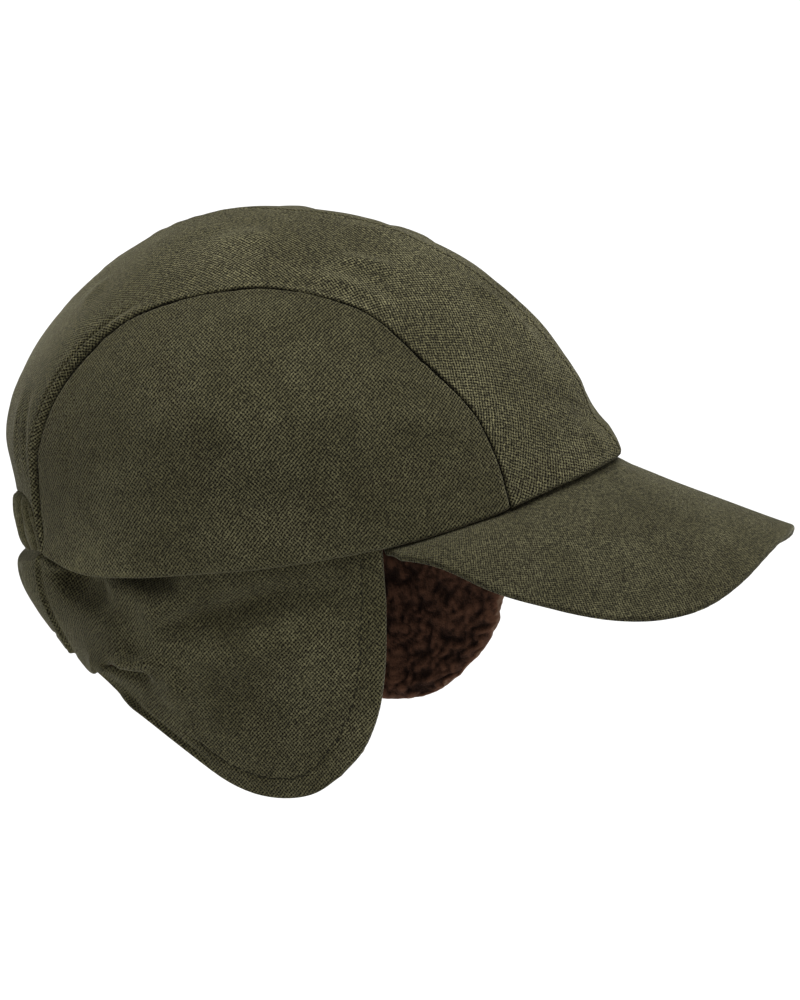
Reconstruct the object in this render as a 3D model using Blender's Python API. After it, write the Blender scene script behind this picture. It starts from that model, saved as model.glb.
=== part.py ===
"""A hunting cap of olive cloth: a crown of four panels, a gathered casing at the back, a curved peak,
and ear and neck flaps lined with brown fleece, in the form that it has when it is worn.

Metres, +Z up. The cap faces -Y and its left side is +X. The origin is the middle of the head opening,
level with the crown's lower edge over the ears. An azimuth goes round the crown's pole, from 0 over
the forehead to pi at the back. Each piece is a flat slab of cloth, bent by a function of three
numbers: s across it, t along it, and its layer, from 0 on the outer face to 1 on the inner face."""

import math

import bmesh
import bpy
from mathutils import Vector

# Sizes of the crown
HALF_WIDTH = 0.088
FRONT_REACH = 0.1230
BACK_REACH = 0.0900
POLE_AFT = 0.017
CROWN_TOP = 0.1076
RIM_RISE = 0.0285
DENT = 0.0026
RIDGE = 0.0016
RIDGE_WIDTH = 0.09  # a share of the crown's disc
FRONT_SHARPNESS = 4.0  # of the change from the front's plan to the back's, over the ears

# Sizes of the peak
PEAK_REACH = 0.060
PEAK_SPREAD = math.radians(50.2)
PEAK_BEND = 0.043
PEAK_BEND_WIDTH = 0.078
PEAK_SLOPE = 0.47
PEAK_CURL = 0.0052
PEAK_BLEND = 0.025
PEAK_THICK = 0.003
PEAK_TUCK = 0.0022

# Sizes of the casing at the back
GATHER_PUFF = 0.0018
PUFF_POWER = 0.7  # under 1 for a full, round puff
PUFF_END = 0.125  # share of the casing's length over which each end flattens
PLEAT_DEPTH = 0.0007
PLEATS = 15

# Sizes of the flaps
EAR_DROP = 0.0804
FLAP_FRONT = math.radians(50.9)
FLAP_SEAM = math.radians(138.7)
FLAP_TUCK = 0.009
FLAP_LEAN = 0.020
LEAN_DEPTH = 0.042
LEAN_POWER = 1.7
FLARE_LENGTH = 0.015
FOLD_DEPTH = 0.003
FOLD_START = 0.0045
LINING_MARGIN = 0.001

# Thicknesses, and the gap between sewn pieces
CLOTH = 0.002
FLAP_CLOTH = 0.0016
FLEECE = 0.005
SEAM_GAP = 0.0005
GATHER_GAP = 0.0006
TUCK_GAP = 0.0006
LINING_GAP = 0.0008

# Steps of the grids. The second number of a flap is for the part tucked inside the crown.
TOP_STEPS = 9
TOP_STEP_POWER = 1.3  # over 1 for narrower steps beside the centre seam
SEAM_STEPS = (8, 16, 8)  # along the side seam: the front run, the run over the ear, the back run
GATHER_STEPS = 6
PLEAT_STEPS = 4
PEAK_STEPS = (28, 8)
EAR_STEPS = 18
EAR_HANG_STEPS = (9, 2)
NECK_STEPS = 16
NECK_HANG_STEPS = (6, 2)

# Small steps that a direction is measured over
SHARE_STEP = 0.01  # of an edge's run
CHART_STEP = 1e-3  # on the crown's disc and on the peak's chart
FLAP_STEP = 1e-4  # on the flaps' chart, in metres
POLE_RING = 1e-6  # a smaller ring counts as the pole itself
SHARP_ANGLE = math.radians(50)

# Rings of the crown in equal steps from the rim to the pole.
# Columns: height, fore reach, side reach and aft reach, each a share of its size, and how square the
# front half is in plan, where 2 is an ellipse and less is more pointed.
RINGS = (
    (0.000, 0.998, 1.000, 0.928, 1.82),
    (0.170, 0.943, 1.000, 0.958, 1.82),
    (0.336, 0.868, 0.990, 0.997, 1.82),
    (0.500, 0.784, 0.955, 0.948, 1.82),
    (0.650, 0.685, 0.865, 0.835, 1.84),
    (0.780, 0.575, 0.725, 0.680, 1.87),
    (0.880, 0.448, 0.555, 0.506, 1.92),
    (0.950, 0.305, 0.370, 0.340, 1.97),
    (0.990, 0.157, 0.180, 0.166, 2.00),
    (1.000, 0.000, 0.000, 0.000, 2.00),
)
RING_PARITY = (1, -1, -1, -1, 1)  # the signs of those columns beyond the pole
BACK_SQUARE = 2.15

# Height of the rim every 15 degrees from the forehead to the back, as a share of RIM_RISE.
RIM = (
    (1.000,), (0.885,), (0.600,), (0.360,), (0.200,), (0.070,), (-0.030,),
    (-0.125,), (-0.180,), (-0.080,), (-0.190,), (-0.270,), (-0.310,),
)

# The seam between a top panel and a side panel, from the forehead's rim over the ear to the back's
# rim. Columns: azimuth in degrees, ring from 0 at the pole to 1 at the rim.
SIDE_SEAM = (
    (26.0, 1.000), (26.8, 0.880), (29.3, 0.742), (36.0, 0.605), (44.5, 0.472), (57.0, 0.406),
    (75.0, 0.370), (93.0, 0.381), (108.5, 0.418), (120.5, 0.482), (128.0, 0.585), (133.2, 0.720),
    (136.2, 0.868), (133.5, 1.000),
)
SEAM_CORNERS = (3 / 13, 10 / 13)  # shares of that run where the side panel's grid has its corners

# The top panel's lower edge over the casing, from the middle of the back to the casing's end.
# Columns: azimuth in degrees, ring.
BACK_EDGE = (
    (180.0, 0.907), (164.0, 0.900), (150.0, 0.886), (142.8, 0.905), (139.8, 0.950), (138.3, 1.000),
)
BACK_CORNER = 2.4 / 5  # share of that run where the casing's grid has its upper corner
BACK_END = 0.75  # share of the top panel's width that ends over the casing, not at the rim

# Small dents and bulges of the crown. Columns: side and fore place on the unit disc, side and fore
# half width on it, height as a share of DENT.
CROWN_DENTS = (
    (0.00, 0.875, 0.30, 0.055, -1.00),
    (0.00, 0.960, 0.25, 0.045, 0.35),
    (0.30, 0.680, 0.12, 0.100, 0.30),
    (0.55, -0.300, 0.12, 0.120, -0.25),
    (0.62, 0.350, 0.15, 0.150, 0.25),
)

# The peak's outer edge in equal steps from its middle to its end: how far it stands from the crown
# sideways and forwards, as shares of PEAK_REACH.
PEAK_EDGE = (
    (0.000, 1.043), (0.132, 1.053), (0.230, 1.056), (0.283, 1.035), (0.288, 0.973),
    (0.268, 0.858), (0.240, 0.683), (0.204, 0.445), (0.120, 0.110),
)

# An ear flap's front edge, from the rim to its round corner, and its hem, from there to the seam with
# the neck flap. Columns: azimuth in degrees past FLAP_FRONT, height as a share of EAR_DROP.
EAR_FRONT = ((0.0, -0.120), (0.0, -0.340), (1.7, -0.560), (5.0, -0.735), (9.6, -0.860))
EAR_FRONT_RUN = 0.72  # share of the front edge's steps on those rows, with the rest up to the rim
EAR_HEM = (
    (9.6, -0.860), (14.4, -0.946), (20.5, -0.984), (28.0, -0.981), (36.5, -0.930), (46.0, -0.831),
    (56.0, -0.715), (64.0, -0.617), (69.5, -0.525), (73.0, -0.470), (77.0, -0.535), (82.0, -0.540),
    (87.8, -0.500),
)

# The neck flap's hem from that seam to the middle of the back, in the same columns.
NECK_HEM = ((87.8, -0.500), (98.0, -0.545), (112.0, -0.590), (129.1, -0.615))

# How far the flaps lean in, every 15 degrees from 45 to 180, as a share of FLAP_LEAN.
LEAN = (
    (-0.38,), (-0.07,), (0.11,), (0.24,), (0.35,), (0.43,), (0.55,), (0.70,), (0.84,), (0.94,),
)
LEAN_FROM = math.radians(45)

# Folds of the ear flaps, each along a straight line. Columns: azimuth in degrees and height as a
# share of EAR_DROP at one end, the same at the other end, half width as a share of EAR_DROP, and
# height as a share of FOLD_DEPTH, below 0 for a valley.
FLAP_FOLDS = (
    (63.0, -0.10, 108.0, -0.36, 0.090, -0.80),
    (109.0, -0.22, 126.0, -0.15, 0.080, -1.00),
    (106.0, -0.47, 123.0, -0.50, 0.060, 0.85),
    (112.0, -0.60, 117.0, -0.58, 0.055, -0.70),
    (75.0, -0.30, 98.0, -0.48, 0.110, 0.50),
    (148.0, -0.20, 180.0, -0.26, 0.280, 2.30),
)


def spline(rows, place, start=None, finish=None):
    """The row at a place from 0, the first, to 1, the last, on a smooth curve through all of them.

    Past an end the columns go on straight, or repeat backwards with the signs of start or finish."""
    last = len(rows) - 1
    before = min(max(math.floor(place * last), 0), last - 1)
    part = place * last - before

    def row(index):
        if 0 <= index <= last:
            return rows[index]
        end, inner, signs = (rows[0], rows[-index], start) if index < 0 else (
            rows[last], rows[2 * last - index], finish)
        if signs is None:
            return [2 * edge - value for edge, value in zip(end, inner)]
        return [sign * value for sign, value in zip(signs, inner)]

    points = zip(row(before - 1), row(before), row(before + 1), row(before + 2))
    return [
        b + 0.5 * part * (c - a + part * (2 * a - 5 * b + 4 * c - d + part * (3 * (b - c) + d - a)))
        for a, b, c, d in points
    ]


def rim_up(azimuth):
    return RIM_RISE * spline(RIM, abs(azimuth) / math.pi, (1,), (1,))[0]


def frontness(azimuth):
    """1 over the forehead, 0 at the back, with a smooth change over the ears."""
    return 0.5 + 0.5 * math.tanh(FRONT_SHARPNESS * math.cos(azimuth)) / math.tanh(FRONT_SHARPNESS)


def plan_of(ring, azimuth):
    """The height share of a ring, and its side and fore distance from the pole at an azimuth."""
    height, fore, side, aft, square = spline(RINGS, 1 - ring, None, RING_PARITY)
    front = frontness(azimuth)
    lengthwise = front * fore * FRONT_REACH + (1 - front) * aft * BACK_REACH
    power = front * square + (1 - front) * BACK_SQUARE
    if ring < POLE_RING:
        return height, 0.0, 0.0
    across, along = abs(math.sin(azimuth)) / (side * HALF_WIDTH), abs(math.cos(azimuth)) / lengthwise
    reach = (across**power + along**power) ** (-1 / power)
    return height, reach * math.sin(azimuth), reach * math.cos(azimuth)


def crown_dent(place):
    """How far the crown stands out at a place on its disc: a ridge along the centre seam, and dents."""
    total = RIDGE * math.exp(-abs(place.x) / RIDGE_WIDTH)
    for side, fore, side_width, fore_width, height in CROWN_DENTS:
        across, along = (abs(place.x) - side) / side_width, (place.y - fore) / fore_width
        total += DENT * height * math.exp(-across * across - along * along)
    return total


def crown_skin(place):
    """The crown's outer skin at a place on the unit disc, x to the left and y to the front."""
    ring = place.length
    azimuth = math.atan2(place.x, place.y)
    height, side, fore = plan_of(ring, azimuth)
    rim = rim_up(azimuth)
    return Vector((side, POLE_AFT - fore, rim + (CROWN_TOP - rim) * height))


def normal_of(skin, place, step=CHART_STEP):
    """The outward normal of a skin at a place on its chart."""
    along_x = skin(place + Vector((step, 0))) - skin(place - Vector((step, 0)))
    along_y = skin(place + Vector((0, step))) - skin(place - Vector((0, step)))
    return along_y.cross(along_x).normalized()


def crown_point(place, depth):
    """A point of the crown, at a depth inside its outer skin."""
    return crown_skin(place) + normal_of(crown_skin, place) * (crown_dent(place) - depth)


def on_disc(azimuth, ring):
    return Vector((ring * math.sin(azimuth), ring * math.cos(azimuth)))


def moved(place, direction, distance):
    """A place on the disc moved by a distance measured on the crown."""
    step = direction.normalized() * CHART_STEP
    return place + step * distance / (crown_skin(place + step) - crown_skin(place)).length


def row_on_disc(rows, share):
    """The place on the disc of a table of azimuths in degrees and rings, at a share of its run."""
    azimuth, ring = spline(rows, share)
    return on_disc(math.radians(azimuth), ring)


def edge_place(rows, share, clear):
    """An edge of a panel at a share of its run, moved to the right of the run by a clearance."""
    run = row_on_disc(rows, share + SHARE_STEP) - row_on_disc(rows, share - SHARE_STEP)
    aside = Vector((run.y, -run.x)) * math.copysign(1, clear)
    return moved(row_on_disc(rows, share), aside, abs(clear))


def seam_place(share, clear):
    """The side seam, moved towards the top by a clearance, or towards the ear where that is below 0."""
    return edge_place(SIDE_SEAM, share, clear)


def patch(near, far, first, last):
    """A chart position for each (s, t), blended from four edges: near and far run with s, first and
    last run with t."""

    def place(s, t):
        sides = near(s) * (1 - t) + far(s) * t + first(t) * (1 - s) + last(t) * s
        corners = (near(0) * (1 - s) + near(1) * s) * (1 - t) + (far(0) * (1 - s) + far(1) * s) * t
        return sides - corners

    return place


def between(first, last, share):
    return first + (last - first) * share


def side_panel_chart():
    """s runs from the front to the back, t from the rim to the seam."""
    first, last = SEAM_CORNERS
    clear = -SEAM_GAP / 2
    azimuths = [math.atan2(end.x, end.y) for end in (seam_place(0, clear), seam_place(1, clear))]

    def rim(s):
        ring = between(seam_place(0, clear).length, seam_place(1, clear).length, s)
        return on_disc(between(*azimuths, s), ring)

    return patch(
        rim,
        lambda s: seam_place(between(first, last, s), clear),
        lambda t: seam_place(first * t, clear),
        lambda t: seam_place(between(1, last, t), clear),
    )


def back_edge(share, clear):
    """The lower edge of the top panel at the back, moved towards the casing by a clearance."""
    return edge_place(BACK_EDGE, share, clear)


def seam_share(t):
    """The side seam's share at a share of all its steps, so that both panels meet it at the same points."""
    first, last = SEAM_CORNERS
    step = t * sum(SEAM_STEPS)
    if step < SEAM_STEPS[0]:
        return first * step / SEAM_STEPS[0]
    if step < SEAM_STEPS[0] + SEAM_STEPS[1]:
        return between(first, last, (step - SEAM_STEPS[0]) / SEAM_STEPS[1])
    return between(1, last, (sum(SEAM_STEPS) - step) / SEAM_STEPS[2])


def top_panel_chart():
    """s runs from the centre seam to the side seam, t from the forehead to the back."""
    clear = SEAM_GAP / 2
    front_end = seam_place(0, clear)
    back_end = seam_place(1, clear)
    tongue = back_edge(1, 0)

    def forehead(s):
        turn = between(0, math.atan2(front_end.x, front_end.y), s)
        return on_disc(turn, between(1, front_end.length, s))

    def back(s):
        if s < BACK_END:
            return back_edge(s / BACK_END, 0)
        share = (s - BACK_END) / (1 - BACK_END)
        turns = math.atan2(tongue.x, tongue.y), math.atan2(back_end.x, back_end.y)
        return on_disc(between(*turns, share), between(1, back_end.length, share))

    return patch(
        forehead,
        back,
        lambda t: Vector((0, between(1, -BACK_EDGE[0][1], t))),
        lambda t: seam_place(seam_share(t), clear),
    )


def gather_chart():
    """s runs round the back from the right end to the left end, t from the lower edge to the top."""

    def mirrored(place, hand):
        return Vector((hand * place.x, place.y))

    def top(s):
        hand = -1 if s < 0.5 else 1
        return mirrored(back_edge(BACK_CORNER * abs(2 * s - 1), GATHER_GAP), hand)

    foot = back_edge(1, GATHER_GAP)
    turn = math.atan2(foot.x, foot.y)

    def rim(s):
        return on_disc(between(-turn, turn - 2 * math.pi, s), foot.length)

    return patch(
        rim,
        top,
        lambda t: mirrored(back_edge(between(1, BACK_CORNER, t), GATHER_GAP), -1),
        lambda t: mirrored(back_edge(between(1, BACK_CORNER, t), GATHER_GAP), 1),
    )


def fold_height(azimuth, up):
    """How far the folds move a flap outwards."""
    total = 0.0
    place = Vector((abs(azimuth) * HALF_WIDTH, up))
    for turn_a, up_a, turn_b, up_b, width, height in FLAP_FOLDS:
        start = Vector((math.radians(turn_a) * HALF_WIDTH, up_a * EAR_DROP))
        run = Vector((math.radians(turn_b) * HALF_WIDTH, up_b * EAR_DROP)) - start
        share = min(max((place - start).dot(run) / run.length_squared, 0), 1)
        away = (place - start - run * share).length / (width * EAR_DROP)
        total += FOLD_DEPTH * height * math.exp(-away * away)
    return total


def flap_skin(place):
    """The crown's skin carried on below the rim, at an azimuth and a height: x is the azimuth times
    HALF_WIDTH and y the height."""
    azimuth, up = math.remainder(place.x / HALF_WIDTH, math.tau), place.y
    rim = rim_up(azimuth)
    drop = rim - up
    below = max(drop, 0)
    run = FLARE_LENGTH * (1 - math.exp(-below / FLARE_LENGTH)) + min(drop, 0)
    ring_height = (CROWN_TOP - rim) * RINGS[1][0] * (len(RINGS) - 1)
    _, side, fore = plan_of(1 + run / ring_height, azimuth)
    lean_place = (abs(azimuth) - LEAN_FROM) / (math.pi - LEAN_FROM)
    lean = FLAP_LEAN * spline(LEAN, max(lean_place, 0), None, (1,))[0] * (below / LEAN_DEPTH) ** LEAN_POWER
    fold = fold_height(azimuth, up) * min(below / FOLD_START, 1)
    inwards = 1 + (fold - lean) / math.hypot(side, fore)
    return Vector((side * inwards, POLE_AFT - fore * inwards, up))


def flap_point(place, depth):
    return flap_skin(place) + normal_of(flap_skin, place, FLAP_STEP) * depth


def flap_place(azimuth, up):
    return Vector((azimuth * HALF_WIDTH, up))


def hem_place(rows, share):
    azimuth, up = spline(rows, share)
    return flap_place(FLAP_FRONT + math.radians(azimuth), up * EAR_DROP)


def tucked(chart, steps):
    """A flap's chart that ends at the rim, carried on up inside the crown for its last steps."""
    hang = steps[0] / sum(steps)

    def place(s, t):
        raised = max(t - hang, 0) / (1 - hang)
        return chart(s, min(t / hang, 1)) + Vector((0, raised * FLAP_TUCK))

    return place


def ear_chart():
    """s runs from the front edge to the neck seam, t from the hem up to the rim."""

    def at_rim(azimuth):
        return flap_place(azimuth, rim_up(azimuth))

    def front(t):
        if t < EAR_FRONT_RUN:
            return hem_place(EAR_FRONT, 1 - t / EAR_FRONT_RUN)
        raised = (t - EAR_FRONT_RUN) / (1 - EAR_FRONT_RUN)
        return between(hem_place(EAR_FRONT, 0), at_rim(FLAP_FRONT), raised)

    seam = FLAP_SEAM - SEAM_GAP / (2 * HALF_WIDTH)
    low_end = hem_place(EAR_HEM, 1)

    def hem(s):
        place = hem_place(EAR_HEM, s)
        return Vector((place.x * (1 + s * (seam * HALF_WIDTH / low_end.x - 1)), place.y))

    return patch(
        hem,
        lambda s: at_rim(between(FLAP_FRONT, seam, s)),
        front,
        lambda t: between(hem(1), at_rim(seam), t),
    )


def neck_chart():
    """s runs round the back from the right seam to the left seam, t from the hem up to the rim."""
    seam = FLAP_SEAM + SEAM_GAP / (2 * HALF_WIDTH)

    def place(s, t):
        away = abs(2 * s - 1)
        turn = between(math.pi, seam, away)
        low = spline(NECK_HEM, 1 - away, None, (1, 1))[1] * EAR_DROP
        azimuth = -turn if s < 0.5 else turn - 2 * math.pi
        return flap_place(azimuth, between(low, rim_up(turn), t))

    return place


def peak_skin(place):
    """The peak's upper skin: x runs from -1 to 1 between its ends, y from 0 at the crown to 1 at the
    outer edge."""
    end, out = abs(place.x), place.y
    azimuth = end * PEAK_SPREAD
    under = crown_point(on_disc(azimuth, 1), CLOTH + PEAK_TUCK)
    seat = crown_point(on_disc(azimuth, 1), CLOTH).z - 2 * SEAM_GAP
    side, fore = spline(PEAK_EDGE, end, (-1, 1))
    across = under.x + side * PEAK_REACH * out
    ahead = -under.y + fore * PEAK_REACH * out

    def blank(across, ahead):
        past = ahead - (FRONT_REACH - POLE_AFT)
        bend = PEAK_BEND * (across / PEAK_BEND_WIDTH) ** 2
        return RIM_RISE - PEAK_SLOPE * past + PEAK_CURL * (past / PEAK_REACH) ** 3 - bend

    away = math.hypot(across - under.x, ahead + under.y) / PEAK_BLEND
    lifted = (seat - blank(under.x, -under.y)) * max(1 - away, 0) ** 2
    return Vector((math.copysign(across, place.x), -ahead, blank(across, ahead) + lifted))


def peak_point(s, t, layer):
    place = Vector((2 * s - 1, t))
    return peak_skin(place) - normal_of(peak_skin, place) * PEAK_THICK * layer


def cloth_slab(name, material, steps, point):
    """A flat grid with a second layer, bent by point(s, t, layer) into a closed solid."""
    mesh = bmesh.new()
    bmesh.ops.create_grid(mesh, x_segments=steps[0], y_segments=steps[1], size=0.5)
    raised = bmesh.ops.extrude_face_region(mesh, geom=mesh.faces[:])["geom"]
    bmesh.ops.translate(
        mesh, verts=[part for part in raised if isinstance(part, bmesh.types.BMVert)], vec=(0, 0, 1)
    )
    bmesh.ops.triangulate(mesh, faces=mesh.faces[:], quad_method="FIXED")
    bmesh.ops.recalc_face_normals(mesh, faces=mesh.faces[:])
    for vertex in mesh.verts:
        vertex.co = point(vertex.co.x + 0.5, vertex.co.y + 0.5, vertex.co.z)
    if mesh.calc_volume(signed=True) < 0:
        bmesh.ops.reverse_faces(mesh, faces=mesh.faces[:])
    data = bpy.data.meshes.new(name)
    mesh.to_mesh(data)
    mesh.free()
    data.shade_smooth()
    data.set_sharp_from_angle(angle=SHARP_ANGLE)
    data.materials.append(material)
    piece = bpy.data.objects.new(name, data)
    CAP.objects.link(piece)
    return piece


def finish(name, colour, roughness):
    material = bpy.data.materials.new(name)
    material.use_nodes = True
    shader = material.node_tree.nodes["Principled BSDF"]
    shader.inputs["Base Color"].default_value = (*colour, 1)
    shader.inputs["Roughness"].default_value = roughness
    shader.inputs["Metallic"].default_value = 0.0
    return material


def handed(point, hand):
    """The same piece for the left side, hand 1, or the right side, hand -1."""

    def mirrored(s, t, layer):
        place = point(s, t, layer)
        return Vector((hand * place.x, place.y, place.z))

    return mirrored


def build_crown(olive):
    top, side = top_panel_chart(), side_panel_chart()

    def top_point(s, t, layer):
        place = crown_point(top(s**TOP_STEP_POWER, t), CLOTH * layer)
        place.x += (1 - s) * SEAM_GAP / 2
        return place

    def side_point(s, t, layer):
        return crown_point(side(s, t), CLOTH * layer)

    for word, hand in (("left", 1), ("right", -1)):
        cloth_slab("crown_top_" + word, olive, (TOP_STEPS, sum(SEAM_STEPS)), handed(top_point, hand))
        cloth_slab("crown_side_" + word, olive, (SEAM_STEPS[1], SEAM_STEPS[0]), handed(side_point, hand))


def build_gather(olive):
    chart = gather_chart()

    def point(s, t, layer):
        swell = math.sin(math.pi * t) ** PUFF_POWER * min(1, s / PUFF_END, (1 - s) / PUFF_END)
        puff = swell * (GATHER_PUFF + PLEAT_DEPTH * math.cos(2 * math.pi * PLEATS * s))
        return crown_point(chart(s, t), CLOTH * layer - puff * (1 - layer))

    cloth_slab("back_gather", olive, (PLEAT_STEPS * PLEATS, GATHER_STEPS), point)


def build_flaps(olive, fleece):
    ear, neck = tucked(ear_chart(), EAR_HANG_STEPS), tucked(neck_chart(), NECK_HANG_STEPS)
    outer = CLOTH + TUCK_GAP
    inner = outer + FLAP_CLOTH + LINING_GAP
    ear_steps = EAR_STEPS, sum(EAR_HANG_STEPS)
    neck_steps = NECK_STEPS, sum(NECK_HANG_STEPS)
    ear_width = (FLAP_SEAM - FLAP_FRONT) * HALF_WIDTH
    neck_width = 2 * (math.pi - FLAP_SEAM) * HALF_WIDTH

    def ear_point(s, t, layer):
        return flap_point(ear(s, t), outer + FLAP_CLOTH * layer)

    def ear_lining_point(s, t, layer):
        trimmed = min(max(s, LINING_MARGIN / ear_width), 1 - SEAM_GAP / ear_width)
        return flap_point(ear(trimmed, max(t, LINING_MARGIN / EAR_DROP)), inner + FLEECE * layer)

    def neck_point(s, t, layer):
        return flap_point(neck(s, t), outer + FLAP_CLOTH * layer)

    def neck_lining_point(s, t, layer):
        trimmed = min(max(s, SEAM_GAP / neck_width), 1 - SEAM_GAP / neck_width)
        return flap_point(neck(trimmed, max(t, LINING_MARGIN / EAR_DROP)), inner + FLEECE * layer)

    for word, hand in (("left", 1), ("right", -1)):
        cloth_slab("ear_flap_" + word, olive, ear_steps, handed(ear_point, hand))
        cloth_slab("ear_lining_" + word, fleece, ear_steps, handed(ear_lining_point, hand))
    cloth_slab("neck_flap", olive, neck_steps, neck_point)
    cloth_slab("neck_lining", fleece, neck_steps, neck_lining_point)


for leftover in list(bpy.data.objects):
    bpy.data.objects.remove(leftover)
CAP = bpy.data.collections.new("hunting_cap")
bpy.context.scene.collection.children.link(CAP)

olive_cloth = finish("olive cloth", (0.045, 0.043, 0.024), 0.85)
brown_fleece = finish("brown fleece", (0.030, 0.016, 0.011), 0.95)
build_crown(olive_cloth)
build_gather(olive_cloth)
cloth_slab("peak", olive_cloth, PEAK_STEPS, peak_point)
build_flaps(olive_cloth, brown_fleece)
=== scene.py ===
# %% [markdown]
# # A hunting cap of olive cloth
# The cap has a round crown of four panels, a gathered back, a curved peak, and flaps over the ears and
# the neck that are lined with brown fleece. It keeps the form that it has on a head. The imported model
# gives its plain solids. Here each of them gets its fine surface: seams, folds, pleats, hems, weave
# and pile. The pieces are in metres, with +Z up, the peak towards -Y and the cap's left side at +X.

# %% Load the frame
import math

import bmesh
import bpy
import numpy as np
from mathutils import Matrix, Vector, noise


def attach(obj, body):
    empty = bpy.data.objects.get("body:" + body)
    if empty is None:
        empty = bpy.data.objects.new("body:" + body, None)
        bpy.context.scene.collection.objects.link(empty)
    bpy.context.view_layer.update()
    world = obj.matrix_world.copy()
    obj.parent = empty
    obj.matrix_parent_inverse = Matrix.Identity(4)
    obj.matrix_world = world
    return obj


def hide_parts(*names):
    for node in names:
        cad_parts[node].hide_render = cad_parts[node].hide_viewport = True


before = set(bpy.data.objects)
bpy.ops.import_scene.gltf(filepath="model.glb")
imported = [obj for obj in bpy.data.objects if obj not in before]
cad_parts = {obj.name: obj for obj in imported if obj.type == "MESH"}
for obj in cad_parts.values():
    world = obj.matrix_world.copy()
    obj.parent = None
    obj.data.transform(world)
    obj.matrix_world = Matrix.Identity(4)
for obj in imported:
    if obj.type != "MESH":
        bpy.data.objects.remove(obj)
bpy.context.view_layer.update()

print("nodes:", ", ".join(sorted(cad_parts)))

# %% [markdown]
# ## Camera
# A long lens from 3 m away keeps the cap's proportions, as a product photograph does. The camera stands
# at the cap's right side, a little in front of it and 12 degrees above it. Its matrix is built from the
# picture's right, its up and the way back to the camera, so the cap lands where the photograph has it.

# %% The camera
VIEW_AZIMUTH = math.radians(-75)
VIEW_ELEVATION = math.radians(12)
VIEW_DISTANCE = 3.0
AIM_RIGHT, AIM_UP = 0.0283, 0.0077
PICTURE_HEIGHT = 1000 / 2900  # metres that the picture's height covers at the cap's distance
SENSOR_MM = 36.0

right = Vector((math.cos(VIEW_AZIMUTH), math.sin(VIEW_AZIMUTH), 0))
back = Vector((
    math.sin(VIEW_AZIMUTH) * math.cos(VIEW_ELEVATION),
    -math.cos(VIEW_AZIMUTH) * math.cos(VIEW_ELEVATION),
    math.sin(VIEW_ELEVATION),
))
up = back.cross(right)
aim = right * AIM_RIGHT + up * AIM_UP
camera = bpy.data.objects.new("camera", bpy.data.cameras.new("camera"))
bpy.context.scene.collection.objects.link(camera)
camera.data.sensor_width = SENSOR_MM
camera.data.lens = SENSOR_MM * VIEW_DISTANCE / PICTURE_HEIGHT
turned_to_cap = Matrix((right, up, back)).transposed().to_4x4()
camera.matrix_world = Matrix.Translation(aim + back * VIEW_DISTANCE) @ turned_to_cap
bpy.context.scene.camera = camera
print("lens in mm:", round(camera.data.lens, 1))

# %% [markdown]
# ## Sizes and curves of the cap
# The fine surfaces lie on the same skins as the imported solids, so the crown's rings, its rim, its seams
# and the flaps' outlines are stated once more, as shares of a few named sizes. A table is a short list
# of rows, and a smooth curve through them gives every place between. The curve works on whole arrays,
# because a piece has tens of thousands of vertices and a Python loop over them would be slow.

# %% Named sizes, in metres
HALF_WIDTH = 0.088
FRONT_REACH = 0.1230
BACK_REACH = 0.0900
POLE_AFT = 0.017
CROWN_TOP = 0.1076
RIM_RISE = 0.0285
DENT = 0.0026
RIDGE = 0.0016
RIDGE_WIDTH = 0.09
FRONT_SHARPNESS = 4.0
PEAK_REACH = 0.060
PEAK_SPREAD = math.radians(50.2)
PEAK_BEND = 0.043
PEAK_BEND_WIDTH = 0.078
PEAK_SLOPE = 0.47
PEAK_CURL = 0.0052
PEAK_BLEND = 0.025
PEAK_THICK = 0.003
PEAK_TUCK = 0.0022
PEAK_DROP = 0.0002
GATHER_PUFF = 0.0018
EAR_DROP = 0.0804
FLAP_FRONT = math.radians(50.6)
FLAP_SEAM = math.radians(138.7)
FLAP_TUCK = 0.009
FLAP_LEAN = 0.020
LEAN_DEPTH = 0.042
LEAN_POWER = 1.7
FLARE_LENGTH = 0.015
FOLD_DEPTH = 0.003
SHOULDER = 0.0016
CLOTH = 0.002
FLAP_CLOTH = 0.0016
FLEECE = 0.005
TUCK_GAP = 0.0006
LINING_GAP = 0.0006
BUTT_GAP = 0.00014

# %% Tables of the crown, the peak and the flaps
# Rings of the crown from the rim to the pole: height, fore, side and aft reach, squareness of the front.
RINGS = (
    (0.000, 0.998, 1.000, 0.928, 1.82),
    (0.170, 0.943, 1.000, 0.958, 1.82),
    (0.336, 0.868, 0.990, 0.997, 1.82),
    (0.500, 0.784, 0.955, 0.948, 1.82),
    (0.650, 0.685, 0.865, 0.835, 1.84),
    (0.780, 0.575, 0.725, 0.680, 1.87),
    (0.880, 0.448, 0.555, 0.506, 1.92),
    (0.950, 0.305, 0.370, 0.340, 1.97),
    (0.990, 0.157, 0.180, 0.166, 2.00),
    (1.000, 0.000, 0.000, 0.000, 2.00),
)
RING_PARITY = (1, -1, -1, -1, 1)
BACK_SQUARE = 2.15
# Height of the rim every 15 degrees from the forehead to the back, as a share of RIM_RISE.
RIM = (
    (1.000,), (0.885,), (0.600,), (0.360,), (0.200,), (0.070,), (-0.030,),
    (-0.125,), (-0.180,), (-0.080,), (-0.190,), (-0.270,), (-0.310,),
)
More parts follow.
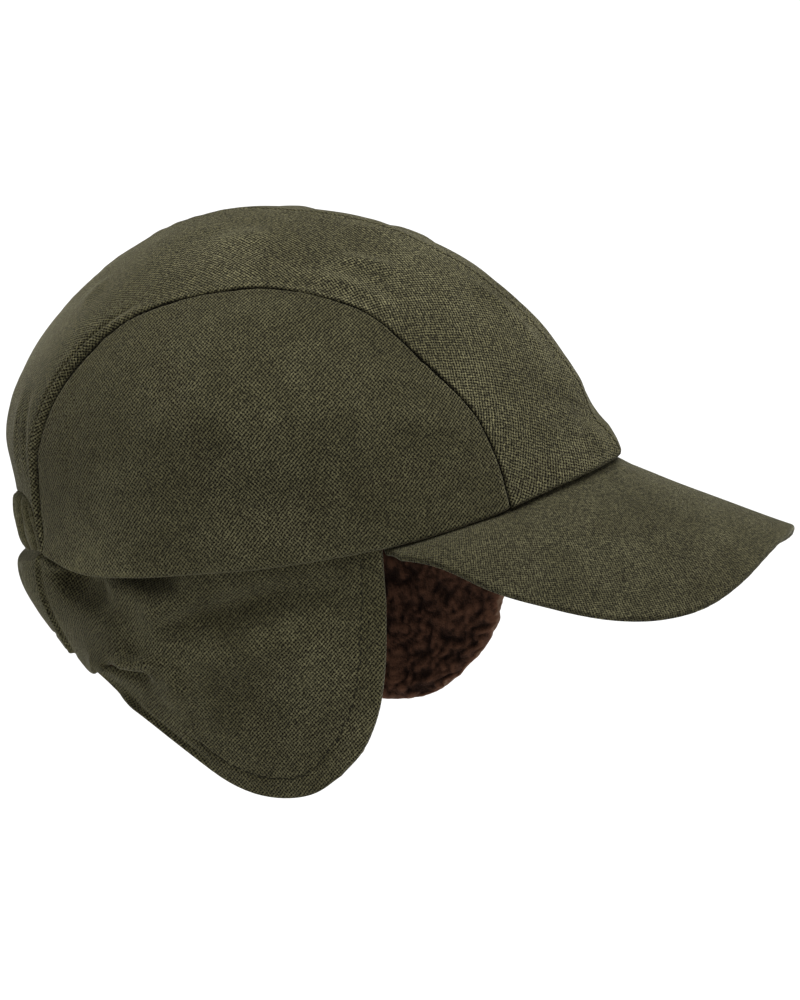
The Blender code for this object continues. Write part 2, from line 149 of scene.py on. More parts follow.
# Azimuth in degrees and ring, along the side seam and along the top panel's edge over the casing.
SIDE_SEAM = (
    (26.0, 1.000), (26.8, 0.880), (29.3, 0.742), (36.0, 0.605), (44.5, 0.472), (57.0, 0.406),
    (75.0, 0.370), (93.0, 0.381), (108.5, 0.418), (120.5, 0.482), (128.0, 0.585), (133.2, 0.720),
    (136.2, 0.868), (133.5, 1.000),
)
SEAM_CORNERS = (3 / 13, 10 / 13)
BACK_EDGE = (
    (180.0, 0.907), (164.0, 0.900), (150.0, 0.886), (142.8, 0.905), (139.8, 0.950), (138.3, 1.000),
)
BACK_CORNER = 2.4 / 5
BACK_END = 0.75
# Side and fore place on the crown's disc, half widths there, and height as a share of DENT.
CROWN_DENTS = (
    (0.00, 0.875, 0.30, 0.055, -1.00),
    (0.00, 0.960, 0.25, 0.045, 0.35),
    (0.30, 0.680, 0.12, 0.100, 0.30),
    (0.55, -0.300, 0.12, 0.120, -0.25),
    (0.62, 0.350, 0.15, 0.150, 0.25),
)
# Sideways and forward distance of the peak's edge from the crown, as shares of PEAK_REACH.
PEAK_EDGE = (
    (0.000, 1.043), (0.132, 1.053), (0.230, 1.060), (0.283, 1.038), (0.288, 0.973),
    (0.268, 0.858), (0.240, 0.683), (0.204, 0.445), (0.088, 0.110),
)
# Azimuth in degrees past FLAP_FRONT and height as a share of EAR_DROP, along each flap's edge.
EAR_FRONT = ((0.0, -0.120), (1.0, -0.340), (3.0, -0.560), (6.2, -0.735), (10.4, -0.860))
EAR_FRONT_RUN = 0.72
EAR_HEM = (
    (10.4, -0.860), (15.2, -0.946), (21.3, -0.984), (28.8, -0.981), (37.3, -0.930), (46.8, -0.831),
    (56.8, -0.722), (63.8, -0.645), (68.6, -0.580), (72.0, -0.505), (75.3, -0.553), (81.3, -0.556),
    (88.1, -0.500),
)
NECK_HEM = ((88.1, -0.500), (98.0, -0.545), (112.0, -0.590), (129.1, -0.615))
# How far the flaps lean in, every 15 degrees from 45 to 180, as a share of FLAP_LEAN.
LEAN = (
    (-0.38,), (-0.07,), (0.11,), (0.24,), (0.35,), (0.43,), (0.55,), (0.70,), (0.84,), (0.94,),
)
LEAN_FROM = math.radians(45)
# Straight folds of the flaps: both ends as azimuth and height share, half width share, height share.
FLAP_FOLDS = (
    (63.0, -0.10, 108.0, -0.36, 0.090, -0.80),
    (109.0, -0.22, 126.0, -0.15, 0.080, -1.00),
    (106.0, -0.47, 123.0, -0.50, 0.060, 0.85),
    (112.0, -0.60, 117.0, -0.58, 0.055, -0.70),
    (75.0, -0.30, 98.0, -0.48, 0.110, 0.50),
    (148.0, -0.20, 180.0, -0.26, 0.280, 2.30),
)

# %% The smooth curve through a table's rows


def spline(rows, place, start=None, finish=None):
    """The rows' values at places from 0 to 1. Past an end they go on straight, or mirror with signs."""
    rows = np.asarray(rows, float)
    before_first = 2 * rows[0] - rows[1] if start is None else rows[1] * start
    after_last = 2 * rows[-1] - rows[-2] if finish is None else rows[-2] * finish
    knots = np.vstack([before_first, rows, after_last])
    last = len(rows) - 1
    at = np.asarray(place, float) * last
    step = np.clip(np.floor(at), 0, last - 1).astype(int)
    part = (at - step)[..., None]
    a, b, c, d = (knots[step + k] for k in range(4))
    return b + 0.5 * part * (c - a + part * (2 * a - 5 * b + 4 * c - d + part * (3 * (b - c) + d - a)))


def between(first, last, share):
    return first + (last - first) * share


def pair(across, along):
    """Two arrays, or numbers, as places with two coordinates."""
    return np.stack(np.broadcast_arrays(across, along), -1).astype(float)


print("rim height over the forehead in mm:", round(1000 * RIM_RISE * spline(RIM, 0.0)[0], 1))

# %% [markdown]
# ## The crown's skin
# A place on the crown is a place on a flat disc: the pole is its middle and the rim its edge. The rings'
# table raises the disc into the crown. The cloth's own direction, straight out of the skin, comes from
# two small steps on the disc, and everything that stands out or dips in is moved along it.

# %% The crown's skin and its normal
DISC_STEP = 1e-3
NO_RING = 1e-6
BESIDE_POLE = 1e-4
RUN_STEP = 0.01


def rim_up(azimuth):
    return RIM_RISE * spline(RIM, np.abs(azimuth) / math.pi, (1,), (1,))[..., 0]


def plan_of(ring, azimuth):
    """A ring's height share, and its side and fore distance from the pole at an azimuth."""
    values = spline(RINGS, 1 - ring, None, RING_PARITY)
    height, fore, side, aft, square = (values[..., k] for k in range(5))
    front = 0.5 + 0.5 * np.tanh(FRONT_SHARPNESS * np.cos(azimuth)) / math.tanh(FRONT_SHARPNESS)
    lengthwise = front * fore * FRONT_REACH + (1 - front) * aft * BACK_REACH
    power = front * square + (1 - front) * BACK_SQUARE
    at_pole = ring < NO_RING
    across = np.abs(np.sin(azimuth)) / np.where(at_pole, 1, side * HALF_WIDTH)
    along = np.abs(np.cos(azimuth)) / np.where(at_pole, 1, lengthwise)
    reach = np.where(at_pole, 0, (across**power + along**power) ** (-1 / power))
    return height, reach * np.sin(azimuth), reach * np.cos(azimuth)


def crown_skin(place):
    azimuth = np.arctan2(place[..., 0], place[..., 1])
    height, side, fore = plan_of(np.hypot(place[..., 0], place[..., 1]), azimuth)
    rim = rim_up(azimuth)
    return np.stack([side, POLE_AFT - fore, rim + (CROWN_TOP - rim) * height], -1)


def normal_of(skin, place, step):
    """The direction straight out of a skin."""
    along_x = skin(place + (step, 0)) - skin(place - (step, 0))
    along_y = skin(place + (0, step)) - skin(place - (0, step))
    normal = np.cross(along_y, along_x)
    return normal / np.linalg.norm(normal, axis=-1, keepdims=True)


def crown_dent(place):
    total = RIDGE * np.exp(-np.abs(place[..., 0]) / RIDGE_WIDTH)
    for side, fore, side_width, fore_width, height in CROWN_DENTS:
        across, along = (np.abs(place[..., 0]) - side) / side_width, (place[..., 1] - fore) / fore_width
        total = total + DENT * height * np.exp(-across * across - along * along)
    return total


def crown_out(place):
    """The crown's normal, and its skin with its dents."""
    normal = normal_of(crown_skin, place, DISC_STEP)
    return normal, crown_skin(place) + normal * crown_dent(place)[..., None]


def on_disc(azimuth, ring):
    return pair(ring * np.sin(azimuth), ring * np.cos(azimuth))


def moved(place, direction, distance):
    """A place on the disc moved by a distance measured on the crown."""
    step = direction / np.linalg.norm(direction, axis=-1, keepdims=True) * DISC_STEP
    made = np.linalg.norm(crown_skin(place + step) - crown_skin(place), axis=-1, keepdims=True)
    return place + step * distance / made


def row_on_disc(rows, share):
    values = spline(rows, share)
    return on_disc(np.radians(values[..., 0]), values[..., 1])


def edge_place(rows, share, clear):
    """An edge of a panel, moved to the right of its run by a clearance."""
    share = np.asarray(share, float)
    run = row_on_disc(rows, share + RUN_STEP) - row_on_disc(rows, share - RUN_STEP)
    aside = pair(run[..., 1], -run[..., 0]) * math.copysign(1, clear)
    return moved(row_on_disc(rows, share), aside, abs(clear))


def patch(near, far, first, last):
    """A chart that blends four edges: near and far run with s, first and last run with t."""

    def place(s, t):
        s1, t1 = s[..., None], t[..., None]
        sides = near(s) * (1 - t1) + far(s) * t1 + first(t) * (1 - s1) + last(t) * s1
        ends = [edge(np.array(end)) for edge in (near, far) for end in (0.0, 1.0)]
        low, high = ends[0] * (1 - s1) + ends[1] * s1, ends[2] * (1 - s1) + ends[3] * s1
        return sides - (low * (1 - t1) + high * t1)

    return place


pole = crown_out(np.array([[0.0, BESIDE_POLE]]))[1][0]
print("the pole is at", pole.round(4), "metres")

# %% [markdown]
# ## A piece of cloth
# Every piece starts as Blender's flat grid. It is extruded into two layers, and its vertices are then
# moved to the places worked out for the cloth's outer and inner face. The weave needs a map without
# stretching, so a curved panel is unwrapped and scaled to metres, as its paper pattern would lie on a
# table. One more value per vertex sets the cloth's tone. It is paler on edges and ridges, partly from
# rubbed wear and partly as a painted highlight, and darker as painted shade in creases, hollows and seams.

# %% From a flat grid to a piece with two faces
THIN = 3  # every third row is enough for a pattern


def grid_places(columns, rows):
    """s and t, each from 0 to 1, for every place of a grid."""
    return np.meshgrid(np.linspace(0, 1, columns + 1), np.linspace(0, 1, rows + 1), indexing="ij")


def flat_grid(columns, rows):
    mesh = bmesh.new()
    bmesh.ops.create_grid(mesh, x_segments=columns, y_segments=rows, size=0.5)
    bmesh.ops.translate(mesh, verts=mesh.verts[:], vec=(0.5, 0.5, 0))
    return mesh


def grid_index(data, columns, rows):
    """Column, row and layer of each vertex of a mesh made from flat_grid."""
    flat = np.empty(len(data.vertices) * 3, np.float32)
    data.vertices.foreach_get("co", flat)
    flat = flat.reshape(-1, 3)
    return tuple(np.rint(flat * (columns, rows, 1)).astype(int).T)


def lay_flat(points, turn):
    """The pattern of a curved panel in metres: unwrapped, with its rows turned from level by an angle."""
    thinned = points[::THIN, ::THIN]
    columns, rows = thinned.shape[0] - 1, thinned.shape[1] - 1
    mesh = flat_grid(columns, rows)
    data = bpy.data.meshes.new("pattern")
    mesh.to_mesh(data)
    mesh.free()
    column, row, _ = grid_index(data, columns, rows)
    data.vertices.foreach_set("co", thinned[column, row].astype(np.float32).ravel())
    pattern = bpy.data.objects.new("pattern", data)
    bpy.context.scene.collection.objects.link(pattern)
    bpy.context.view_layer.objects.active = pattern
    bpy.ops.object.mode_set(mode="EDIT")
    bpy.ops.mesh.select_all(action="SELECT")
    bpy.ops.uv.unwrap(method="MINIMUM_STRETCH", margin=0)
    bpy.ops.object.mode_set(mode="OBJECT")
    flat = np.empty(len(data.loops) * 2, np.float32)
    data.uv_layers.active.data.foreach_get("uv", flat)
    corner = np.empty(len(data.loops), np.int32)
    data.loops.foreach_get("vertex_index", corner)
    places = np.zeros((columns + 1, rows + 1, 2))
    places[column[corner], row[corner]] = flat.reshape(-1, 2)
    bpy.data.objects.remove(pattern)
    bpy.data.meshes.remove(data)
    places = (places - places[columns // 2, rows // 2]) * edge_sum(thinned) / edge_sum(places)
    run = places[columns // 2, rows // 2 + rows // 8] - places[columns // 2, rows // 2 - rows // 8]
    levelled = turned(places, turn + math.pi / 2 - math.atan2(run[1], run[0]))
    all_columns = filled_in(levelled, points.shape[0]).swapaxes(0, 1)
    return filled_in(all_columns, points.shape[1]).swapaxes(0, 1)


def edge_sum(points):
    """The mean length of a grid's steps, both ways."""
    return sum(np.linalg.norm(np.diff(points, axis=axis), axis=-1).mean() for axis in (0, 1))


def filled_in(places, count):
    """The same rows with straight steps between them, count rows in all."""
    at = np.linspace(0, len(places) - 1, count)
    step = np.minimum(at.astype(int), len(places) - 2)
    return between(places[step], places[step + 1], (at - step)[:, None, None])


def turned(places, angle):
    cosine, sine = math.cos(angle), math.sin(angle)
    across, along = places[..., 0], places[..., 1]
    return pair(across * cosine - along * sine, across * sine + along * cosine)


def area_of(points):
    """The area of a grid of points."""
    across, along = np.diff(points, axis=0)[:, :-1], np.diff(points, axis=1)[:-1]
    return float(np.linalg.norm(np.cross(across, along), axis=-1).sum())


def sewn(name, outer, inner, pattern, tone_and_painted_light, material, slot, node, hand=1):
    """A closed piece of cloth from the places of its outer and inner face. Hand -1 mirrors it."""
    columns, rows = outer.shape[0] - 1, outer.shape[1] - 1
    mesh = flat_grid(columns, rows)
    raised = bmesh.ops.extrude_face_region(mesh, geom=mesh.faces[:])["geom"]
    second = [part for part in raised if isinstance(part, bmesh.types.BMVert)]
    bmesh.ops.translate(mesh, verts=second, vec=(0, 0, 1))
    bmesh.ops.recalc_face_normals(mesh, faces=mesh.faces[:])
    data = bpy.data.meshes.new(name)
    mesh.to_mesh(data)
    column, row, layer = grid_index(data, columns, rows)
    places = np.where(layer[:, None] == 0, outer[column, row], inner[column, row]) * (hand, 1, 1)
    data.vertices.foreach_set("co", places.astype(np.float32).ravel())
    mesh.clear()
    mesh.from_mesh(data)
    if mesh.calc_volume(signed=True) < 0:
        bmesh.ops.reverse_faces(mesh, faces=mesh.faces[:])
    mesh.to_mesh(data)
    mesh.free()
    corner = np.empty(len(data.loops), np.int32)
    data.loops.foreach_get("vertex_index", corner)
    weave = data.uv_layers.new(name="weave")
    weave.data.foreach_set("uv", pattern[column, row][corner].astype(np.float32).ravel())
    tone_with_painted_light = data.attributes.new("tone_and_painted_light", "FLOAT", "POINT")
    tone_with_painted_light.data.foreach_set("value", tone_and_painted_light[column, row].astype(np.float32))
    data.shade_smooth()
    data.materials.append(material)
    piece = bpy.data.objects.new(name, data)
    bpy.context.scene.collection.objects.link(piece)
    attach(piece, "root")
    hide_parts(node)
    print(name, len(data.polygons) * 2, "triangles")
    return piece


# %% [markdown]
# ## Ridges, creases and rolled edges
# A crease or a ridge follows a path, and its height fades with the distance from it. A rolled edge
# bends down like a quarter circle where the cloth turns into its seam or its hem. Slow, low noise
# between them keeps the cloth from looking like a machined shell.

# %% Distances and heights
NO_RUN = 1e-12
NOISE_SHIFT = (17.3, 7.1, 3.7)


def near_path(points, path):
    """Each point's distance to a path, and its share of the way along it."""
    path = np.asarray(path, float)
    lengths = np.linalg.norm(np.diff(path, axis=0), axis=-1)
    passed = np.concatenate([[0], np.cumsum(lengths)]) / lengths.sum()
    nearest, along = np.full(points.shape[:-1], np.inf), np.zeros(points.shape[:-1])
    for k, (start, end) in enumerate(zip(path[:-1], path[1:])):
        run = end - start
        share = np.clip(((points - start) @ run) / max(run @ run, NO_RUN), 0, 1)
        away = np.linalg.norm(points - start - share[..., None] * run, axis=-1)
        closer = away < nearest
        nearest = np.where(closer, away, nearest)
        along = np.where(closer, between(passed[k], passed[k + 1], share), along)
    return nearest, along


def crease(points, path, half_width, height, fade=0.35):
    """A ridge of a height along a path, or a crease where the height is below 0, fading at its ends."""
    away, along = near_path(points, path)
    ends = np.clip(np.minimum(along, 1 - along) / fade, 0, 1)
    beyond = ends * ends * (3 - 2 * ends)
    return height * beyond * np.exp(-((away / half_width) ** 2))


def rolled(away, radius):
    """How far an edge has bent down at a distance from it."""
    share = np.clip(1 - away / radius, 0, 1)
    return radius * (1 - np.sqrt(1 - share * share))


def lip(away, at, half_width, height):
    """A ridge that runs beside an edge."""
    return height * np.exp(-(((away - at) / half_width) ** 2))


def uneven(points, wavelength, seed):
    """Smooth noise from about -1 to 1."""
    shift = Vector([seed * part for part in NOISE_SHIFT])
    flat = points.reshape(-1, 3) / wavelength
    values = [noise.noise(Vector(point) + shift) for point in flat.tolist()]
    return np.array(values).reshape(points.shape[:-1]) * 2


print("a 1 mm edge has bent down by", round(1000 * float(rolled(np.array(0.0), 0.001)), 2), "mm at its end")

# %% [markdown]
# ## The crown's top panels
# Two long panels meet in the seam over the middle of the head. Each is drawn on the crown's disc
# between four edges: the seam in the middle, the seam above the ear, the forehead and the back. Steps
# are narrower near the edges, where the cloth rolls into its seams. The folds were read off the
# photograph as places on the disc. The right panel is the left one mirrored.

# %% Edges and relief shared by the crown's panels


def eased(share, gentle):
    """Shares from 0 to 1 with narrower steps towards both ends."""
    return share - gentle * np.sin(2 * math.pi * share) / (2 * math.pi)


def seam_place(share, clear):
    return edge_place(SIDE_SEAM, share, clear)


def back_edge(share, clear):
    return edge_place(BACK_EDGE, share, clear)


def azimuth_of(place):
    return np.arctan2(place[..., 0], place[..., 1])


def disc_path(rows):
    """Points on the crown's skin along a path of azimuths in degrees and rings."""
    rows = np.array(rows, float)
    return crown_skin(on_disc(np.radians(rows[:, 0]), rows[:, 1]))


INNER_RELIEF = 0.5  # folds show half as high inside
SEAM_ROLL = 0.0012
RIM_ROLL = 0.0014
PUCKER = 0.00022
PUCKER_LENGTH = 0.0045
PUCKER_REACH = 0.005
SLOW_HEIGHT = 0.00030
SLOW_LENGTH = 0.026
# Painted light and shade by height: ridges are paler, partly rubbed wear and partly a painted highlight,
# and creases and hollows are darker as painted shade.
RELIEF_TO_LIGHT_AND_SHADE = 120
RELIEF_SHOWN = (-0.0025, 0.0008)
# Edges and the cloth beside seams are paler, partly from rubbed wear and partly as a painted highlight on
# the rolled edge.
EDGE_PALE_AT, EDGE_PALE_WIDTH, EDGE_PALE = 0.0012, 0.0009, 0.15
PLAIN_TONE = 0.5
SOFT_PATCH, SOFT_LENGTH = 0.18, 0.03
SMALL_PATCH, SMALL_LENGTH = 0.12, 0.008
DULLEST = 0.15
# Painted shade down in a seam's groove, over this half width.
SEAM_SHADE_WIDTH = 0.00055


def seam_relief(points, seams, rims, seed):
    """How far cloth stands out: rolled at its seams and rims, puckered beside seams, slightly uneven."""
    height = SLOW_HEIGHT * uneven(points, SLOW_LENGTH, seed)
    pucker = PUCKER * uneven(points, PUCKER_LENGTH, seed + 1)
    for seam in seams:
        away, _ = near_path(points, seam)
        height = height - rolled(away, SEAM_ROLL) + pucker * np.exp(-away / PUCKER_REACH)
    for rim in rims:
        away, _ = near_path(points, rim[::3])
        height = height - rolled(away, RIM_ROLL)
    return height


def tone_with_painted_light(points, relief, edges, seams, seed):
    """Cloth's tone: paler along edges and on ridges, partly rubbed wear and partly a painted highlight,
    darker in creases as painted shade, with soft patches. Down in a seam it is near 0, as painted shade.
    """
    value = PLAIN_TONE + SOFT_PATCH * uneven(points, SOFT_LENGTH, seed + 5)
    value = value + SMALL_PATCH * uneven(points, SMALL_LENGTH, seed + 6)
    value = value + RELIEF_TO_LIGHT_AND_SHADE * np.clip(relief, *RELIEF_SHOWN)
    for edge in edges + seams:
        away, _ = near_path(points, edge)
        value = value + lip(away, EDGE_PALE_AT, EDGE_PALE_WIDTH, EDGE_PALE)
    value = np.clip(value, DULLEST, 1)
    for seam in seams:
        away, _ = near_path(points, seam)
        value = value * (1 - lip(away, 0, SEAM_SHADE_WIDTH, 1))
    return value


# %% The top panels' folds, and the panels
TOP_STEPS = (84, 270)
# Azimuth in degrees and ring along each ridge or crease, then its half width and height in metres.
TOP_FOLDS = (
    (((17.8, 0.171), (6.6, 0.241), (1.5, 0.321)), 0.0040, 0.0006),
    (((46.5, 0.286), (33.7, 0.327), (24.3, 0.380)), 0.0034, 0.0013),
    (((67.0, 0.319), (47.4, 0.376), (34.2, 0.512)), 0.0032, 0.0011),
    (((7.8, 0.430), (5.6, 0.491), (4.3, 0.560), (4.6, 0.644), (5.4, 0.734)), 0.0024, 0.0010),
    (((111.8, 0.243), (91.2, 0.194), (63.2, 0.185)), 0.0060, 0.0012),
    (((151.2, 0.394), (147.5, 0.440), (144.5, 0.484)), 0.0042, 0.0011),
    (((148.7, 0.640), (147.0, 0.773), (147.4, 0.880)), 0.0022, 0.0010),
    (((144.0, 0.640), (141.7, 0.769), (141.1, 0.880)), 0.0018, -0.0009),
    (((0.4, 0.856), (8.5, 0.808), (15.3, 0.768)), 0.0030, -0.0006),
    (((0.6, 0.949), (4.5, 0.909), (11.2, 0.861)), 0.0032, 0.0009),
    (((168.0, 0.300), (165.0, 0.420), (170.0, 0.540)), 0.0060, 0.0005),
    (((160.0, 0.600), (158.0, 0.720), (161.0, 0.840)), 0.0030, 0.0006),
)
# A welt is rolled up beside the side seam at the back, with a groove inside it.
WELT_AT, WELT_WIDTH, WELT_HEIGHT = 0.0019, 0.0014, 0.0018
WELT_GROOVE_AT, WELT_GROOVE_WIDTH, WELT_GROOVE = 0.0048, 0.0011, -0.0014
WELT_FROM, WELT_FULL = 0.60, 0.72  # shares of the side seam's run
# The welt's ridge is painted paler, partly for rubbed wear and partly as a painted highlight on the rolled
# ridge.
WELT_PALE = 0.2
# Painted shade: the top panel is painted darker towards its back, between these azimuths.
PAINTED_SHADE_BEHIND, PAINTED_SHADE_BETWEEN = 0.35, (math.radians(95), math.radians(125))
ALLOWANCE, NO_LENGTH = 0.0005, 1e-9
TOP_TURN = 0.0


def smooth_from(value, first, last):
    share = np.clip((value - first) / (last - first), 0, 1)
    return share * share * (3 - 2 * share)


def seam_share(t):
    """The side seam's share at a share of the panel's length: three runs of equal step counts 1, 2, 1."""
    first, last = SEAM_CORNERS
    return np.where(
        t < 0.25,
        first * t / 0.25,
        np.where(t < 0.75, between(first, last, (t - 0.25) / 0.5), between(1, last, (1 - t) / 0.25)),
    )


def top_panel_chart():
    """s runs from the centre seam to the side seam, t from the forehead to the back."""
    front_end, back_end = seam_place(0.0, BUTT_GAP), seam_place(1.0, BUTT_GAP)
    tongue = back_edge(1.0, 0.0)

    def forehead(s):
        return on_disc(between(0, azimuth_of(front_end), s), between(1, np.hypot(*front_end), s))

    def over_casing(s):
        share = (s - BACK_END) / (1 - BACK_END)
        turn = between(azimuth_of(tongue), azimuth_of(back_end), share)
        past = on_disc(turn, between(1, np.hypot(*back_end), share))
        return np.where((s < BACK_END)[..., None], back_edge(np.minimum(s / BACK_END, 1), 0.0), past)

    def centre(t):
        return pair(0 * t, between(1, -BACK_EDGE[0][1], t))

    return patch(forehead, over_casing, centre, lambda t: seam_place(seam_share(t), BUTT_GAP))


def crown_piece(place, seams_of, rims_of, folds, more, seed):
    """The outer and the inner face of a crown panel, and its tone with painted light and shade."""
    normal, base = crown_out(place)
    seams, rims = seams_of(base), rims_of(base)
    relief = sum(crease(base, disc_path(path), width, height) for path, width, height in folds)
    relief = relief + more(base, seams)
    outer = base + normal * (relief + seam_relief(base, seams, rims, seed))[..., None]
    inner = base + normal * (INNER_RELIEF * relief - CLOTH)[..., None]
    return outer, inner, tone_with_painted_light(base, relief, rims, seams, seed)


def let_in(face):
    """Moves an inner face's first and last rows past their seams, as allowances do, to keep light out."""
    let_out = face.copy()
    for row, beside in ((0, 1), (-1, -2)):
        past = face[row] - face[beside]
        length = np.maximum(np.linalg.norm(past, axis=-1, keepdims=True), NO_LENGTH)
        let_out[row] = face[row] + ALLOWANCE * past / length
    return let_out


def welt(points, seams):
    """The rolled welt beside the side seam at the back."""
    side = seams[1]
    away, along = near_path(points, side[::3])
    there = smooth_from(along, WELT_FROM, WELT_FULL)
    raised = lip(away, WELT_AT, WELT_WIDTH, WELT_HEIGHT)
    return there * (raised + lip(away, WELT_GROOVE_AT, WELT_GROOVE_WIDTH, WELT_GROOVE))


s, t = grid_places(*TOP_STEPS)
top_place = top_panel_chart()(eased(s, 0.85), eased(t, 0.5))
top_faces = crown_piece(
    top_place,
    lambda base: [base[0], base[-1]],
    lambda base: [base[:, 0], base[:, -1]],
    TOP_FOLDS,
    welt,
    1,
)
CENTRE_GAP = np.array((BUTT_GAP, 0, 0))
top_outer, top_inner = top_faces[0] + CENTRE_GAP, let_in(top_faces[1]) + CENTRE_GAP
# Painted shade on the top panel's back shoulder.
top_tone_and_light = top_faces[2] * (1 - PAINTED_SHADE_BEHIND * smooth_from(azimuth_of(top_place), *PAINTED_SHADE_BETWEEN))
from_seam, along_seam = near_path(top_outer, top_outer[-1, ::3])
# Painted highlight on the welt, partly rubbed wear.
on_welt = smooth_from(along_seam, WELT_FROM, WELT_FULL) * lip(from_seam, WELT_AT, WELT_WIDTH, WELT_PALE)
top_tone_and_light = np.clip(top_tone_and_light + on_welt, 0, 1)
top_pattern = lay_flat(top_outer, TOP_TURN)
print("a top panel is", round(1e4 * area_of(top_outer)), "square cm")

# %% [markdown]
# ## The side panels
# A side panel fills the space between the seam above the ear and the crown's lower edge. Its lower edge
# stands out a little over the flap, which gives the dark pocket behind the ear. Its weave runs at a
# slant, because the panel was cut on another line of the cloth than the top.

# %% The side panels
SIDE_STEPS = (180, 105)
SIDE_FOLDS = (
    (((30.8, 0.788), (40.8, 0.733), (49.3, 0.697)), 0.0045, 0.0009),
    (((34.3, 0.670), (43.2, 0.636), (52.0, 0.600)), 0.0040, 0.0006),
    (((109.6, 0.721), (95.1, 0.677), (80.0, 0.660)), 0.0065, 0.0006),
    (((60.0, 0.860), (85.0, 0.840), (110.0, 0.850)), 0.0070, -0.0005),
    (((58.0, 0.470), (75.0, 0.440), (95.0, 0.450)), 0.0045, 0.0005),
    (((120.0, 0.640), (124.0, 0.740), (122.0, 0.860)), 0.0050, -0.0006),
)
# Painted shade: the side panel is painted darker just below its top seam, fading over this reach.
PAINTED_SHADE_BELOW_SEAM, PAINTED_SHADE_REACH = 0.60, 0.022
EAVE_REACH, EAVE_HEIGHT = 0.006, 0.0026
SIDE_TURN = math.radians(4)
EAVE_FROM, EAVE_FULL = math.radians(90), math.radians(112)


def side_panel_chart():
    """s runs from the front to the back, t from the rim to the seam."""
    first, last = SEAM_CORNERS
    ends = seam_place(0.0, -BUTT_GAP), seam_place(1.0, -BUTT_GAP)

    def rim(s):
        turn = between(azimuth_of(ends[0]), azimuth_of(ends[1]), s)
        return on_disc(turn, between(np.hypot(*ends[0]), np.hypot(*ends[1]), s))

    return patch(
        rim,
        lambda s: seam_place(between(first, last, s), -BUTT_GAP),
        lambda t: seam_place(first * t, -BUTT_GAP),
        lambda t: seam_place(between(1, last, t), -BUTT_GAP),
    )


def eave(points, seams):
    """The lower edge stands out over the flap behind the ear."""
    away, _ = near_path(points, points[::3, 0])
    azimuth = np.arctan2(points[..., 0], POLE_AFT - points[..., 1])
    return EAVE_HEIGHT * smooth_from(azimuth, EAVE_FROM, EAVE_FULL) * np.exp(-away / EAVE_REACH)


s, t = grid_places(*SIDE_STEPS)
side_place = side_panel_chart()(eased(s, 0.8), eased(t, 0.8))
side_outer, side_inner, side_tone_and_light = crown_piece(
    side_place,
    lambda base: [base[:, -1], base[0], base[-1]],
    lambda base: [base[:, 0]],
    SIDE_FOLDS,
    eave,
    4,
)
side_pattern = lay_flat(side_outer, SIDE_TURN)
# Painted shade below the top seam.
from_top, _ = near_path(side_outer, side_outer[::3, -1])
side_tone_and_light = side_tone_and_light * (1 - PAINTED_SHADE_BELOW_SEAM * np.exp(-from_top / PAINTED_SHADE_REACH))
print("a side panel is", round(1e4 * area_of(side_outer)), "square cm")

# %% [markdown]
# ## The gathered casing
# At the back a short band of cloth is gathered. It swells out between the top panels and its lower
# edge, in narrow pleats with round ridges and sharp valleys. A cosine without its sign gives such a
# profile, and slow noise in its phase keeps the pleats from being even.

# %% The casing
GATHER_STEPS = (400, 34)
PLEATS = 19
PLEAT_DEPTH = 0.0020
PLEAT_SUNK = 0.7  # pleats dip in more than they stand out
PLEAT_WANDER, PLEAT_LENGTH = 0.9, 0.012
PLEAT_ROUND, PLEAT_FADE = 0.7, 0.4
PLEAT_VARIES, VARIES_LENGTH = 0.4, 0.007
PLEAT_HOOK, HOOK_TURNS = 0.05, 8.0
PUFF_POWER = 0.7
PUFF_END = 0.125
PLEAT_END = 0.02
# Painted shade in the pleats' valleys and a painted highlight on their ridges. The casing's base tone is
# set low, also as painted shade.
PLEAT_SHADE, VALLEY_WIDTH = 0.8, 0.28
CASING_TONE_AND_SHADE, CASING_DARKEST = 0.35, 0.02
PLEAT_RIDGE_HIGHLIGHT, CASING_PATCH, PATCH_LENGTH = 0.30, 0.15, 0.01
INNER_PUFF = 0.4
CASING_TURN = math.radians(8)
GATHERED = 1.3  # the cut's length for each length that it is gathered to


def gather_chart():
    """s runs round the back from the right end to the left end, t from the lower edge to the top."""
    foot = back_edge(1.0, BUTT_GAP)
    turn = azimuth_of(foot)

    def rim(s):
        return on_disc(between(-turn, turn - 2 * math.pi, s), np.hypot(*foot))

    def top(s):
        return back_edge(BACK_CORNER * np.abs(2 * s - 1), BUTT_GAP) * pair(np.where(s < 0.5, -1, 1), 1)

    def side(hand):
        return lambda t: back_edge(between(1, BACK_CORNER, t), BUTT_GAP) * (hand, 1)

    return patch(rim, top, side(-1), side(1))


s, t = grid_places(*GATHER_STEPS)
t = eased(t, 0.6)
gather_place = gather_chart()(s, t)
gather_normal, gather_base = crown_out(gather_place)
from_ends = np.minimum(s, 1 - s)
arch = np.sin(math.pi * np.clip(t, 0, 1))
swell = arch**PUFF_POWER * np.minimum(1, from_ends / PUFF_END)
turned_back = azimuth_of(gather_place)
turned_back = -np.where(turned_back > 0, turned_back - 2 * math.pi, turned_back)
upright = (turned_back - turned_back.min()) / np.ptp(turned_back)
hook = PLEAT_HOOK * (1 - t) ** 2 * np.tanh(HOOK_TURNS * (0.5 - s))
phase = math.pi * PLEATS * (upright + hook) + PLEAT_WANDER * uneven(gather_base, PLEAT_LENGTH, 9)
pleat = 2 * np.abs(np.cos(phase)) ** PLEAT_ROUND - 1
folded = np.minimum(1, from_ends / PLEAT_END) * arch**PLEAT_FADE
varied = 1 + PLEAT_VARIES * uneven(gather_base, VARIES_LENGTH, 10)
gather_puff = swell * GATHER_PUFF + folded * PLEAT_DEPTH * (pleat - PLEAT_SUNK) * varied
gather_outer = gather_base + gather_normal * gather_puff[..., None]
